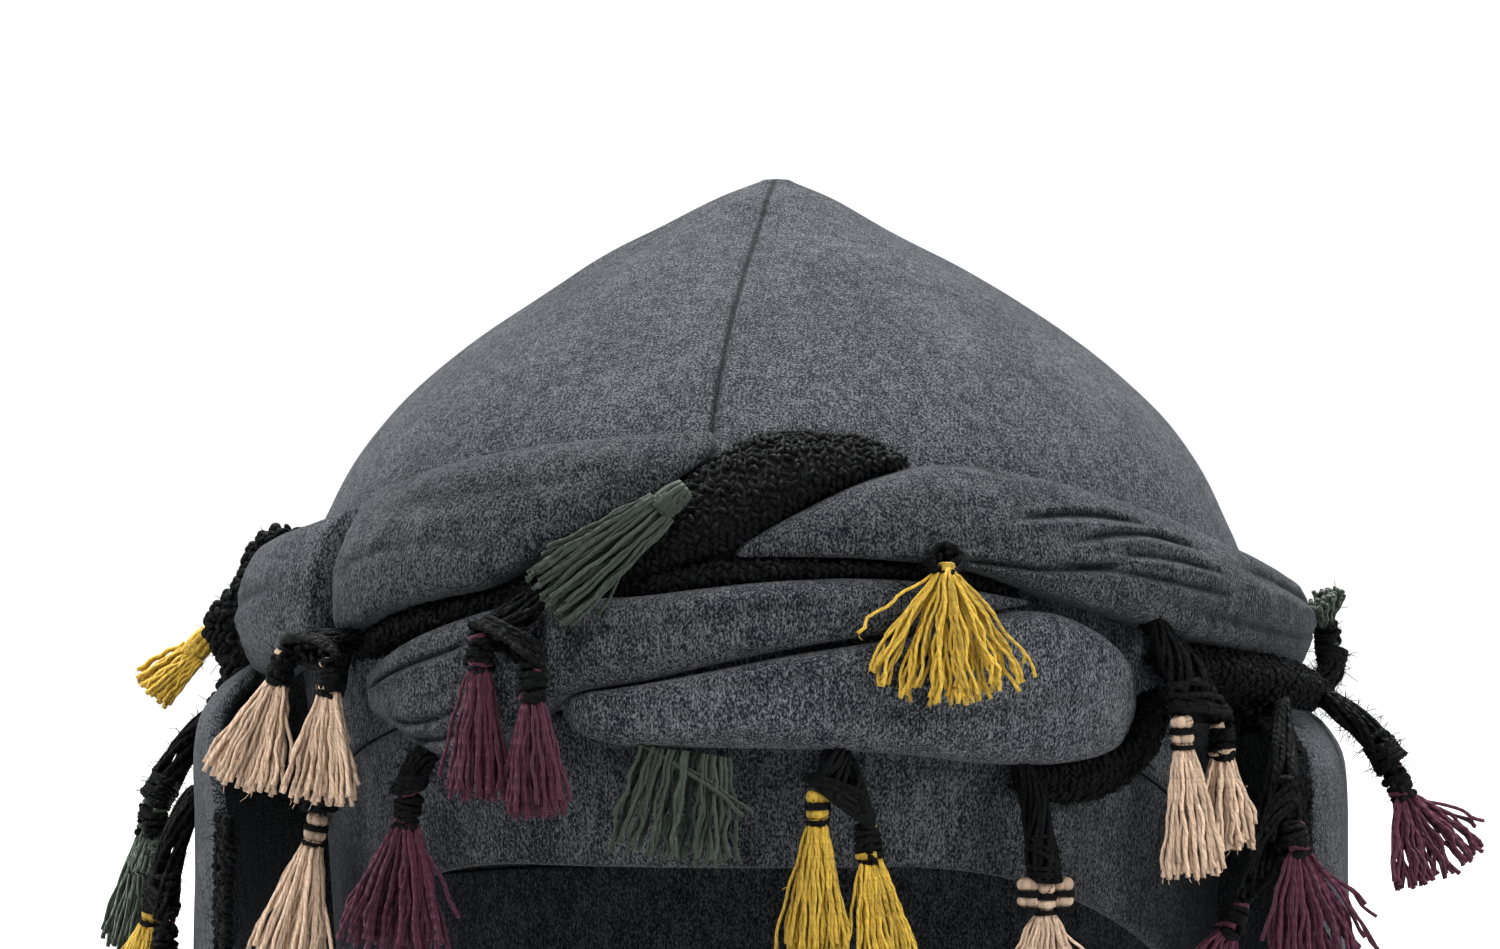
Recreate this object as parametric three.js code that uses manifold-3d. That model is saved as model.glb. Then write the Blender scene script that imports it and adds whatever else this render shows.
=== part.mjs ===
// A tasseled turban cap of grey wool jersey: a peaked crown on a brow band, wound folds round it, a neck drape
// behind, black crochet trim along the cloth's edges, and coloured tassels that hang from the trim.
// Millimetres, +Z up. The origin is the middle of the head opening, level with the rim at the brow.
// The front faces -Y. Angles are in degrees about +Z from the front, positive towards +X.
import * as THREE from "three";
import { mergeVertices } from "three/addons/utils/BufferGeometryUtils.js";
import Module from "manifold-3d";

const wasm = await Module();
wasm.setup();

// Driving dimensions
const crownHeight = 123; // brow rim to peak
const crownHalfWidth = 90; // at its widest, outside the cloth
const crownHalfDepth = 103.5;
const clothThickness = 2.2; // one layer of the jersey
const bandHeight = 27; // the brow band
const bandThickness = 3.2; // a doubled layer
const rimDip = 36; // how far the rim falls from the brow to the nape
const rimLevel = { from: 20, to: 110 }; // degrees from the front, where that fall starts and ends
const seamDepth = 0.8; // the valley of the crown's seam
const wrapHeight = 76; // brow rim to the top of the folds
const wrapBulge = 11; // how proud a full fold stands of the crown
const foldEdge = 3; // a fold's thickness at its turned edges
const pleatDepth = 1.1; // the long pleats of the folds that are pulled tight
const drapeDrop = 52; // brow rim down to the neck drape's hem
const drapeFlare = 22; // how far it hangs off the crown's line
const drapeWave = 2; // half the depth of its hanging folds
const drapeWaves = 8; // how many there are
const drapeEdge = { right: 71, left: 300 }; // degrees, its two front edges, with the nape between them
const drapeTrimWidth = 11; // the crochet border of the drape
const trimThickness = 3; // the crochet border's own thickness
const strandRadius = 1.8; // a crochet stem
const knotRadius = 3.2; // its knot above a tassel
const ruffleRadius = 6; // half the width of the crochet ruffle at the left
const headLength = 6.5; // a tassel's bound head
const headRadius = 2.8;
const tasselLength = 23; // the skirt below the head
const skirtRadius = 8.5; // at its cut end
const gap = 0.3; // kept between neighbouring pieces
const seat = 0.95; // a fold's inner face off the crown's curve, which clears the flat facets of both

const degrees = Math.PI / 180;
const wholeTurn = 360;

// A table's rows as objects with named columns
const table = (columns, rows) =>
  rows.map((row) => Object.fromEntries(columns.map((column, i) => [column, row[i]])));

// A column's value at a place between the rows of a table, on one smooth curve
function along(rows, key, column, at) {
  const last = rows.length - 1;
  if (at <= rows[0][key]) return rows[0][column];
  if (at >= rows[last][key]) return rows[last][column];
  const i = rows.findIndex((row) => row[key] > at) - 1;
  const slope = (j) => {
    const [before, after] = [rows[Math.max(j - 1, 0)], rows[Math.min(j + 1, last)]];
    return (after[column] - before[column]) / (after[key] - before[key]);
  };
  const span = rows[i + 1][key] - rows[i][key];
  const t = (at - rows[i][key]) / span;
  return (
    rows[i][column] * (1 + 2 * t) * (1 - t) ** 2 +
    slope(i) * span * t * (1 - t) ** 2 +
    rows[i + 1][column] * t ** 2 * (3 - 2 * t) -
    slope(i + 1) * span * t ** 2 * (1 - t)
  );
}

// The crown's outline from the front: shares of crownHeight and of crownHalfWidth
const crownOutline = table(
  ["height", "width"],
  [
    [-0.8, 0.88],
    [-0.3, 0.9],
    [0, 0.925],
    [0.2, 0.965],
    [0.33, 0.98],
    [0.42, 0.967],
    [0.51, 0.915],
    [0.58, 0.863],
    [0.65, 0.787],
    [0.72, 0.684],
    [0.79, 0.555],
    [0.86, 0.4],
    [0.92, 0.24],
    [0.97, 0.12],
    [1, 0.02],
  ],
);

// Slack places of the crown: where each is, its reach as a share of crownHeight, its depth of crownHalfWidth
const crownDents = table(
  ["at", "height", "reach", "depth"],
  [
    [-75, 0.9, 0.05, 0.026],
    [-60, 0.8, 0.09, -0.016],
    [80, 0.86, 0.09, -0.014],
    [150, 0.74, 0.12, -0.025],
    [-150, 0.7, 0.12, -0.02],
    [30, 0.72, 0.08, 0.01],
  ],
);

// The wound folds: their edges as shares of wrapHeight, how proud they stand as a share of wrapBulge
const foldColumns = ["at", "top", "low", "bulge"];
const upperLeftFold = table(foldColumns, [
  [-46, 0.832, 0.533, 0.5],
  [-40, 0.868, 0.535, 0.8],
  [-33, 0.911, 0.583, 0.95],
  [-27, 0.938, 0.612, 1],
  [-21, 0.957, 0.638, 0.95],
  [-16, 0.97, 0.701, 0.85],
  [-9, 0.984, 0.795, 0.7],
  [-4, 0.989, 0.863, 0.6],
  [1, 0.993, 0.945, 0.4],
]);
const upperRightFold = table(foldColumns, [
  [3.5, 0.728, 0.707, 0.25],
  [10, 0.809, 0.708, 0.6],
  [17, 0.878, 0.703, 0.85],
  [26, 0.917, 0.679, 1],
  [36, 0.893, 0.613, 1],
  [45, 0.854, 0.566, 1],
  [53, 0.812, 0.522, 1],
  [66, 0.737, 0.48, 1],
  [84, 0.658, 0.434, 1.05],
  [104, 0.605, 0.382, 1.05],
  [135, 0.55, 0.3, 1],
  [165, 0.526, 0.255, 1],
  [190, 0.515, 0.285, 0.85],
  [210, 0.47, 0.35, 0.4],
]);
const leftSideFold = table(foldColumns, [
  [-214, 0.75, 0.66, 0.4],
  [-200, 0.79, 0.605, 0.8],
  [-170, 0.816, 0.56, 1],
  [-140, 0.79, 0.48, 1],
  [-110, 0.75, 0.42, 1.05],
  [-80, 0.737, 0.4, 1.05],
  [-59, 0.77, 0.434, 1.05],
  [-48, 0.81, 0.49, 0.8],
  [-46.5, 0.815, 0.51, 0.6],
]);
const middleFold = table(foldColumns, [
  [-41, 0.421, 0.355, 0.3],
  [-33, 0.496, 0.297, 0.75],
  [-29, 0.53, 0.254, 0.9],
  [-24, 0.566, 0.226, 1],
  [-19.5, 0.592, 0.283, 1],
  [-15, 0.6, 0.349, 0.9],
  [-11.5, 0.612, 0.398, 0.85],
  [-5, 0.621, 0.427, 0.85],
  [1, 0.639, 0.46, 0.85],
  [8, 0.655, 0.497, 0.8],
  [16, 0.66, 0.528, 0.75],
  [23, 0.65, 0.548, 0.65],
  [29, 0.626, 0.582, 0.5],
  [34, 0.608, 0.598, 0.3],
]);
const lowFold = table(foldColumns, [
  [-14, 0.386, 0.362, 0.3],
  [-11.5, 0.403, 0.309, 0.6],
  [-7.5, 0.413, 0.283, 0.85],
  [-1, 0.44, 0.279, 1],
  [8, 0.483, 0.276, 1],
  [16, 0.514, 0.268, 1],
  [23, 0.535, 0.254, 1],
  [28, 0.566, 0.239, 1],
  [33, 0.585, 0.232, 1],
  [38, 0.568, 0.232, 0.95],
  [44, 0.505, 0.25, 0.8],
  [48, 0.434, 0.29, 0.5],
  [50, 0.395, 0.355, 0.25],
]);

// The black crochet that shows between the folds, in the same columns
const frontTrim = table(foldColumns, [
  [-15, 0.67, 0.625, 0.45],
  [-9, 0.776, 0.64, 0.6],
  [-4, 0.849, 0.67, 0.65],
  [0, 0.914, 0.7, 0.65],
  [4, 0.964, 0.735, 0.65],
  [8, 0.987, 0.79, 0.65],
  [13, 0.987, 0.849, 0.6],
  [18, 0.971, 0.892, 0.5],
  [22.5, 0.928, 0.915, 0.3],
]);
const middleTrim = table(foldColumns, [
  [-13, 0.623, 0.607, 0.35],
  [-5, 0.665, 0.618, 0.45],
  [1, 0.69, 0.64, 0.5],
  [6, 0.7, 0.653, 0.5],
  [16, 0.697, 0.663, 0.5],
  [23, 0.687, 0.651, 0.5],
  [29, 0.664, 0.629, 0.4],
  [33, 0.632, 0.612, 0.3],
]);
const leftTrim = table(foldColumns, [
  [-42, 0.515, 0.46, 0.4],
  [-35, 0.57, 0.505, 0.5],
  [-28, 0.605, 0.54, 0.5],
  [-21, 0.632, 0.58, 0.5],
  [-16.5, 0.66, 0.612, 0.4],
]);
const lowTrim = table(foldColumns, [
  [33, 0.23, 0.184, 0.4],
  [40, 0.24, 0.145, 0.6],
  [46, 0.28, 0.158, 0.7],
  [51, 0.37, 0.21, 0.7],
  [55, 0.4, 0.29, 0.4],
]);
const rightTrim = table(foldColumns, [
  [52.5, 0.5, 0.46, 0.6],
  [60, 0.49, 0.38, 1.1],
  [75, 0.47, 0.33, 1.4],
  [95, 0.42, 0.3, 1.4],
  [120, 0.36, 0.24, 1.2],
  [140, 0.3, 0.22, 0.6],
]);

// The drape's top edge round the nape, and where it comes out from under the folds: shares of wrapHeight
const drapeTop = table(
  ["at", "top", "tuck"],
  [
    [71, 0.36, 0.36],
    [120, 0.33, 0.33],
    [150, 0.3, 0.3],
    [180, 0.29, 0.29],
    [200, 0.36, 0.36],
    [225, 0.5, 0.5],
    [250, 0.46, 0.46],
    [280, 0.44, 0.44],
    [290, 0.38, 0.42],
    [300, 0.1, 0.4],
  ],
);

// How the drape falls from there: shares of drapeDrop down and of drapeFlare out
const drapeFall = table(
  ["down", "out"],
  [
    [0, 0.3],
    [0.08, 0.6],
    [0.22, 0.84],
    [0.55, 0.97],
    [1.1, 1.06],
    [2, 1.15],
  ],
);

// The tassels: their head's top as a share of wrapHeight and how far out as a share of wrapBulge, their swing
// from plumb towards +X and away from the hat in degrees, and shares of tasselLength and skirtRadius
const tasselColumns = ["name", "yarn", "at", "top", "out", "swing", "lean", "length", "splay"];
const tassels = table(tasselColumns, [
  ["tassel_01", "green", -1, 0.864, 0.69, -50, 13, 1.1, 0.75],
  ["tassel_02a", "burgundy", -19, 0.537, 1, -1, 0, 0.98, 0.68],
  ["tassel_02b", "burgundy", -14, 0.466, 1, 4, 0, 0.86, 0.66],
  ["tassel_03a", "beige", -46, 0.487, 1, -16, 8, 0.86, 0.9],
  ["tassel_03b", "beige", -38, 0.468, 1, -3, 0, 0.84, 0.85],
  ["tassel_04", "beige", -47, 0.105, 0.7, -12, 0, 1, 0.95],
  ["tassel_05", "burgundy", -31, 0.17, 0.55, -5, 2, 1, 1.25],
  ["tassel_06", "green", -1, 0.272, 0.35, -8, 2, 0.56, 1.35],
  ["tassel_07a", "mustard", 11.6, 0.186, 0.5, -1, 0, 1, 0.66],
  ["tassel_07b", "mustard", 16.2, 0.104, 0.5, 8, 0, 0.86, 0.64],
  ["tassel_08", "mustard", 23, 0.704, 1, 0, 8, 0.82, 1.8],
  ["tassel_09", "beige", 36, -0.032, 0.5, 0, 0, 0.75, 0.9],
  ["tassel_10a", "beige", 50, 0.342, 1, 2, 0, 0.97, 0.68],
  ["tassel_10b", "beige", 57, 0.32, 1, 0, -2, 0.7, 0.62],
  ["tassel_11a", "burgundy", 62, 0.09, 2.1, 8, 4, 0.9, 1.25],
  ["tassel_11b", "burgundy", 57.5, -0.1, 1.7, -28, 2, 0.65, 0.65],
  ["tassel_12", "burgundy", 85, 0.195, 2.45, 15, 12, 0.72, 1.4],
  ["tassel_13", "green", 112, 0.46, 1.5, -150, 2, 0.25, 0.5],
  ["tassel_14a", "green", -98, 0.079, 3.35, -4, 8, 1, 0.7],
  ["tassel_14b", "green", -92, 0.072, 2.95, 0, 2, 0.3, 0.5],
  ["tassel_15", "mustard", -89, -0.145, 2.95, -14, 6, 0.8, 0.8],
  ["tassel_16", "burgundy", -81, -0.2, 2.6, 0, 0, 0.8, 0.65],
  ["tassel_17", "mustard", -98, 0.5, 1.9, -30, 30, 0.45, 0.55],
]);
const frontTurn = 0.5; // a tassel faces this share of its angle, so those at the sides show half their width
const hemTassels = table(
  ["name", "yarn", "at"],
  [
    ["tassel_hem_1", "beige", 105],
    ["tassel_hem_2", "green", 137],
    ["tassel_hem_3", "mustard", 169],
    ["tassel_hem_4", "burgundy", 201],
    ["tassel_hem_5", "beige", 233],
  ],
);

// The crochet stems: the tassels each carries and where it starts, in the tassels' columns
const stems = table(
  ["name", "carries", "at", "top", "out"],
  [
    ["stem_02", ["tassel_02a", "tassel_02b"], -15.5, 0.625, 0.4],
    ["stem_03", ["tassel_03a", "tassel_03b"], -41, 0.515, 0.4],
    ["stem_04", ["tassel_04"], -46.8, 0.5, 0.15],
    ["stem_05", ["tassel_05"], -28.5, 0.27, 0.5],
    ["stem_07", ["tassel_07a", "tassel_07b"], 13.5, 0.285, 0.45],
    ["stem_08", ["tassel_08"], 23, 0.672, 0.45],
    ["stem_09", ["tassel_09"], 33, 0.25, 0.4],
    ["stem_10", ["tassel_10a", "tassel_10b"], 49, 0.56, 0.6],
    ["stem_11", ["tassel_11a", "tassel_11b"], 69, 0.36, 1.3],
    ["stem_12", ["tassel_12"], 86, 0.36, 1.4],
    ["stem_13", ["tassel_13"], 108, 0.34, 1.3],
    ["stem_14", ["tassel_14a", "tassel_14b"], -97, 0.33, 1.9],
    ["stem_15", ["tassel_15", "tassel_16"], -86, 0.12, 2.2],
  ],
);

const wool = { color: 0x4d5258, roughness: 0.95, metalness: 0 };
const yarns = {
  black: { color: 0x15151a, roughness: 0.8, metalness: 0 },
  green: { color: 0x3a4a3e, roughness: 0.85, metalness: 0 },
  burgundy: { color: 0x4e1a38, roughness: 0.85, metalness: 0 },
  mustard: { color: 0xb08a20, roughness: 0.85, metalness: 0 },
  beige: { color: 0xc3a690, roughness: 0.85, metalness: 0 },
};

const turned = (angle) => THREE.MathUtils.euclideanModulo(angle + wholeTurn / 2, wholeTurn) - wholeTurn / 2;

// How high the rim lies at an angle: level at the brow, lower over the ears and the nape
const rimAt = (angle) => -rimDip * THREE.MathUtils.smoothstep(Math.abs(turned(angle)), rimLevel.from, rimLevel.to);

// The distance from the axis to the crown's smooth outer face
function crownRadius(angle, height) {
  const share = along(crownOutline, "height", "width", height / crownHeight);
  const [a, b] = [crownHalfWidth * share, crownHalfDepth * share];
  return (a * b) / Math.hypot(b * Math.sin(angle * degrees), a * Math.cos(angle * degrees));
}

const outwards = (angle) => new THREE.Vector3(Math.sin(angle * degrees), -Math.cos(angle * degrees), 0);
const sideways = (angle) => new THREE.Vector3(Math.cos(angle * degrees), Math.sin(angle * degrees), 0);

// A point at an angle and height, a distance off the crown's smooth face
function onHat(angle, height, off) {
  return outwards(angle).multiplyScalar(crownRadius(angle, height) + off).setZ(height);
}

// A plain geometry with each of its points moved to place(point)
function bent(geometry, place) {
  const position = geometry.attributes.position;
  for (let i = 0; i < position.count; i++) {
    const moved = place(new THREE.Vector3().fromBufferAttribute(position, i));
    position.setXYZ(i, moved.x, moved.y, moved.z);
  }
  return geometry;
}

// A closed geometry as a solid, with its faces turned outwards
function solidOf(geometry) {
  for (const name of ["normal", "uv"]) geometry.deleteAttribute(name);
  const merged = mergeVertices(geometry, 1e-3);
  const mesh = { numProp: 3, vertProperties: merged.attributes.position.array };
  const triVerts = Uint32Array.from(merged.index.array);
  const solid = new wasm.Manifold(new wasm.Mesh({ ...mesh, triVerts }));
  return solid.volume() > 0 ? solid : new wasm.Manifold(new wasm.Mesh({ ...mesh, triVerts: triVerts.reverse() }));
}

function geometryOf(solid) {
  const { vertProperties, triVerts } = solid.getMesh();
  return new THREE.BufferGeometry()
    .setAttribute("position", new THREE.BufferAttribute(vertProperties, 3))
    .setIndex(new THREE.BufferAttribute(triVerts, 1));
}

// A bar bent from a cylinder: place gets its share of the length and a point of the unit circle round it
function bar(sides, steps, place) {
  const plain = new THREE.CylinderGeometry(1, 1, 1, sides, steps);
  return solidOf(bent(plain, (p) => place(p.y + 0.5, { out: p.x, up: p.z })));
}

// A sheet bent from a thin box: place gets its shares across and down, and 0 inside or 1 outside
function sheet(columns, rows, place) {
  const plain = new THREE.BoxGeometry(1, 1, 1, columns, rows, 1);
  return solidOf(bent(plain, (p) => place(p.x + 0.5, 0.5 - p.y, p.z + 0.5)));
}

// The largest body that is left of a solid when its neighbours, each grown by the gap, are cut from it
function clearOf(solid, neighbours) {
  const left = neighbours.reduce((rest, neighbour) => rest.subtract(neighbour), solid);
  return left.decompose().reduce((largest, body) => (body.volume() > largest.volume() ? body : largest));
}

// The crown's slack places and its seam, as a distance off its smooth face
const seamReach = 4; // degrees to each side of the seam
function slack(angle, height) {
  const dents = crownDents.map((dent) => {
    const across = turned(angle - dent.at) * degrees * crownRadius(angle, height);
    const distance = Math.hypot(across, height - dent.height * crownHeight) / (dent.reach * crownHeight);
    return dent.depth * crownHalfWidth * Math.exp(-(distance ** 2));
  });
  const seam = Math.max(0, 1 - Math.abs(Math.sin(angle * degrees)) / Math.sin(seamReach * degrees));
  return dents.reduce((sum, dent) => sum + dent, -seamDepth * seam);
}

// A closed dome on the crown's outline, its face moved out by offset along its normal
const crownSegments = 28;
const frontDensity = 0.35; // more of them at the seam in front than at the nape
const peakRadius = clothThickness / 4; // the least that a ring closes to
function dome(offset) {
  const levels = crownOutline.slice(1);
  const [above, below] = [1, -1];
  return bar(crownSegments, levels.length - 1, (share, ring) => {
    const height = levels[Math.round(share * (levels.length - 1))].height * crownHeight;
    const plain = Math.atan2(ring.out, -ring.up);
    const angle = (plain - frontDensity * Math.sin(plain)) / degrees;
    const lean = (crownRadius(angle, height + above) - crownRadius(angle, height + below)) / (above - below);
    const normal = new THREE.Vector2(1, -lean).normalize().multiplyScalar(offset);
    const radius = Math.max(crownRadius(angle, height) + slack(angle, height) + normal.x, peakRadius);
    const centred = ring.out === 0 && ring.up === 0 ? 0 : radius;
    return outwards(angle).multiplyScalar(centred).setZ(height + normal.y);
  });
}

// A wall round the whole hat between two distances off the crown's face and two heights
function wall(inner, outer, bottomAt, topAt) {
  const corners = [
    [0, 0],
    [1, 0],
    [1, 1],
    [0, 1],
    [0, 0],
  ];
  const axis = 2;
  const profile = corners.map(([x, y]) => new THREE.Vector2(axis + x, y));
  const ring = new THREE.LatheGeometry(profile, crownSegments);
  return solidOf(
    bent(ring, (p) => {
      const angle = Math.atan2(p.x, -p.z) / degrees;
      const off = Math.hypot(p.x, p.z) - axis > 0.5 ? outer : inner;
      return onHat(angle, p.y > 0.5 ? topAt(angle) : bottomAt(angle), off);
    }),
  );
}

const bandTop = (angle) => rimAt(angle) + bandHeight;
function crownSolid() {
  const below = wall(-bandThickness - gap, gap, () => -crownHeight, (angle) => bandTop(angle) + gap);
  return clearOf(dome(0), [dome(-clothThickness), below]);
}

// A wound fold of a table, or a trim: flat against the crown, round outside, thin at its edges
const foldSides = 10;
const pleatedSides = 12;
const trimSides = 8;
const foldStep = 7; // degrees
const backFace = -0.01; // the ring's points behind this lie flat on the crown
function foldSolid(rows, { pleats = 0, sides = foldSides, grow = 0 } = {}) {
  const reach = grow / crownHalfWidth / degrees;
  const [from, to] = [rows[0].at - reach, rows.at(-1).at + reach];
  const inner = grow ? -seat : seat;
  return bar(sides, Math.ceil((to - from) / foldStep), (share, ring) => {
    const at = from + (to - from) * share;
    const [top, low] = ["top", "low"].map((edge) => along(rows, "at", edge, at) * wrapHeight);
    const height = (top + low) / 2 + ring.up * ((top - low) / 2 + grow);
    if (ring.out < backFace) return onHat(at, height, inner);
    const pleat = pleatDepth * Math.cos(pleats * ring.up * Math.PI) * Math.sin(share * Math.PI) * (pleats ? 1 : 0);
    const bulge = Math.max(along(rows, "at", "bulge", at) * wrapBulge - foldEdge, 0);
    return onHat(at, height, foldEdge + (bulge + pleat) * ring.out + grow);
  });
}

// A place on the drape: its angle, its share of the way down to the hem, how far below that, and off its inner face
function onDrape(at, down, below, off) {
  const [top, tuck] = ["top", "tuck"].map((edge) => along(drapeTop, "at", edge, at) * wrapHeight);
  const height = THREE.MathUtils.lerp(top, -drapeDrop, down) - below;
  const fall = (tuck - height) / drapeDrop;
  const turn = ((at - drapeEdge.right) / (drapeEdge.left - drapeEdge.right)) * drapeWaves * 2 * Math.PI;
  const wave = drapeWave * Math.sin(turn) * Math.min(fall, 1);
  return onHat(at, height, along(drapeFall, "down", "out", fall) * drapeFlare + wave + off);
}

// A strip of the drape or of its border, from an angle to an angle and a place down to a place down
function drapeSolid({ from, to, top, bottom, thickness, columns, rows }, grow = 0) {
  const reach = grow / crownHalfWidth / degrees;
  return sheet(columns, rows, (across, down, layer) => {
    const at = from - reach + (to - from + 2 * reach) * across;
    const below = THREE.MathUtils.lerp(top.below - grow, bottom.below + grow, down);
    const share = THREE.MathUtils.lerp(top.down, bottom.down, down);
    return onDrape(at, share, below, layer * (thickness + 2 * grow) - grow);
  });
}
const borderAngle = drapeTrimWidth / (crownHalfWidth + drapeFlare) / degrees;
const gapAngle = gap / crownHalfWidth / degrees;

// A tassel about its head's top: a bound head, and locks that fan out below it
const yarnSides = 5; // of a head or a stem
const headShape = [0.8, 1, 0.75]; // shares of headRadius at its top, middle and foot
const lockCount = 4;
const lockSides = 3;
const lockSpan = 1.44; // from the first foot's middle to the last's, a share of the skirt's spread
const lockHalf = 0.36; // half a lock's width at its foot, a share of the spread
const leastHalf = 0.6; // but at least this share of headRadius
const lockDepth = 0.3; // half its depth there, a share of skirtRadius
const lockDepths = [0.05, 0.42]; // how far forward the locks stand behind and in front, shares of skirtRadius
const rootHalf = 0.4; // half its width and depth in the head, a share of headRadius
const rootDrop = 0.6; // where it starts, a share of headLength
const cutRise = 0.35; // how much shorter the outer locks are, a share of skirtRadius
function tasselSolid({ length, splay }) {
  const head = bar(yarnSides, headShape.length - 1, (share, ring) => {
    const radius = headShape[Math.round((1 - share) * (headShape.length - 1))] * headRadius;
    return new THREE.Vector3(ring.out * radius, ring.up * radius, (share - 1) * headLength);
  });
  const spread = skirtRadius * splay;
  const atRoot = { half: headRadius * rootHalf, depth: headRadius * rootHalf, drop: headLength * rootDrop };
  const locks = Array.from({ length: lockCount }, (_, i) => {
    const place = i / (lockCount - 1) - 0.5;
    const foot = new THREE.Vector3(place * lockSpan * spread, -skirtRadius * lockDepths[i % 2], 0);
    const root = new THREE.Vector3(place * headRadius, 0, 0);
    const atFoot = {
      half: Math.max(spread * lockHalf, headRadius * leastHalf),
      depth: skirtRadius * lockDepth,
      drop: headLength + tasselLength * length - skirtRadius * cutRise * place ** 2 * splay,
    };
    return bar(lockSides, 1, (share, ring) => {
      const { half, depth, drop } = share > 0.5 ? atRoot : atFoot;
      const centre = new THREE.Vector3().lerpVectors(foot, root, share);
      return centre.add(new THREE.Vector3(ring.out * half, ring.up * depth, -drop));
    });
  });
  return locks.reduce((fused, lock) => fused.add(lock), head);
}

// Where a tassel's head hangs, and which way it is turned
function tasselPlace({ at, top, out }) {
  return onHat(at, top * wrapHeight, out * wrapBulge + headRadius + gap);
}
function hung(mesh, { facing, swing, lean }, place) {
  mesh.position.copy(place);
  mesh.rotation.set(-lean * degrees, -swing * degrees, facing * degrees, "ZYX");
  return mesh;
}

// A crochet stem from its trim down to a knot that is as wide as the tassels it carries
const stemSteps = 3;
const stemBend = 0.45; // how far down it stands off the hat most
const stemFlare = 1.5; // how late it widens to its knot
function stemSolid({ carries, at, top, out }) {
  const heads = tassels.filter((tassel) => carries.includes(tassel.name)).map(tasselPlace);
  const [first, last] = [heads[0], heads.at(-1)];
  const middle = first.clone().add(last).multiplyScalar(0.5);
  const apart = last.clone().sub(first);
  const root = onHat(at, top * wrapHeight, out * wrapBulge);
  const knot = middle.clone().setZ(middle.z + gap);
  const bend = root.clone().lerp(knot, stemBend).add(outwards(at).multiplyScalar(strandRadius));
  const path = new THREE.CatmullRomCurve3([root, bend, knot]);
  const footSide = heads.length > 1 ? apart.normalize() : sideways(at);
  const footHalf = last.distanceTo(first) / 2 + knotRadius;
  return bar(yarnSides, stemSteps, (share, ring) => {
    const down = 1 - share;
    const tangent = path.getTangent(down);
    const side = sideways(at).lerp(footSide, down).normalize();
    const depth = new THREE.Vector3().crossVectors(tangent, side).normalize();
    const half = THREE.MathUtils.lerp(strandRadius, footHalf, down ** stemFlare);
    const thick = THREE.MathUtils.lerp(strandRadius, knotRadius, down);
    return path.getPoint(down).addScaledVector(side, ring.out * half).addScaledVector(depth, ring.up * thick);
  });
}

// The room that a tassel's head takes in the stem above it
function headRoom(mesh) {
  mesh.updateMatrixWorld();
  return bar(yarnSides, 1, (share, ring) => {
    const radius = headRadius + gap;
    const point = new THREE.Vector3(ring.out * radius, ring.up * radius, share > 0.5 ? gap : -headLength - gap);
    return point.applyMatrix4(mesh.matrixWorld);
  });
}

// The loose crochet ruffle that stands off the left side
const ruffle = table(
  ["at", "top", "out"],
  [
    [-100, 0.76, 0.9],
    [-98, 0.6, 1.55],
    [-96, 0.42, 1.6],
    [-94, 0.22, 1.75],
  ],
);
const ruffleSteps = 8;
const scallops = 2.5; // how often its width comes and goes
const scallopDepth = 0.3; // and by how much, a share of ruffleRadius
const ruffleHalf = (trimThickness * 2) / 3; // half its thickness
function ruffleSolid(grow = 0) {
  const path = new THREE.CatmullRomCurve3(
    ruffle.map(({ at, top, out }) => onHat(at, top * wrapHeight, out * wrapBulge)),
  );
  return bar(trimSides, ruffleSteps, (share, ring) => {
    const point = path.getPoint(share);
    const at = ruffle[1].at;
    const scallop = scallopDepth * Math.sin(share * scallops * 2 * Math.PI);
    const half = ruffleRadius * (1 - scallopDepth + scallop);
    point.addScaledVector(outwards(at), ring.out * (half + grow));
    point.z += (1 - 2 * share) * grow;
    return point.addScaledVector(sideways(at), ring.up * (ruffleHalf + grow));
  });
}

// The pieces, each cut clear of those named before it
const folds = [
  ["fold_upper_left", upperLeftFold, wool, {}],
  ["fold_upper_right", upperRightFold, wool, { pleats: 2, sides: pleatedSides }],
  ["fold_middle", middleFold, wool, { pleats: 1.5, sides: pleatedSides }],
  ["fold_low", lowFold, wool, {}],
  ["fold_left_side", leftSideFold, wool, {}],
  ["trim_front", frontTrim, yarns.black, { sides: trimSides }],
  ["trim_middle", middleTrim, yarns.black, { sides: trimSides }],
  ["trim_left", leftTrim, yarns.black, { sides: trimSides }],
  ["trim_low", lowTrim, yarns.black, { sides: trimSides }],
  ["trim_right", rightTrim, yarns.black, { sides: trimSides }],
];

const cap = new THREE.Group();
function addPiece(name, solid, look) {
  const mesh = new THREE.Mesh(geometryOf(solid), new THREE.MeshStandardMaterial(look));
  mesh.name = name;
  cap.add(mesh);
  return mesh;
}

addPiece("crown", crownSolid(), wool);
addPiece("brow_band", wall(-bandThickness, 0, rimAt, bandTop), wool);
const grown = [];
for (const [name, rows, look, form] of folds) {
  addPiece(name, clearOf(foldSolid(rows, form), grown), look);
  grown.push(foldSolid(rows, { ...form, grow: gap }));
}
addPiece("trim_left_ruffle", clearOf(ruffleSolid(), grown), yarns.black);
grown.push(ruffleSolid(gap));

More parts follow.
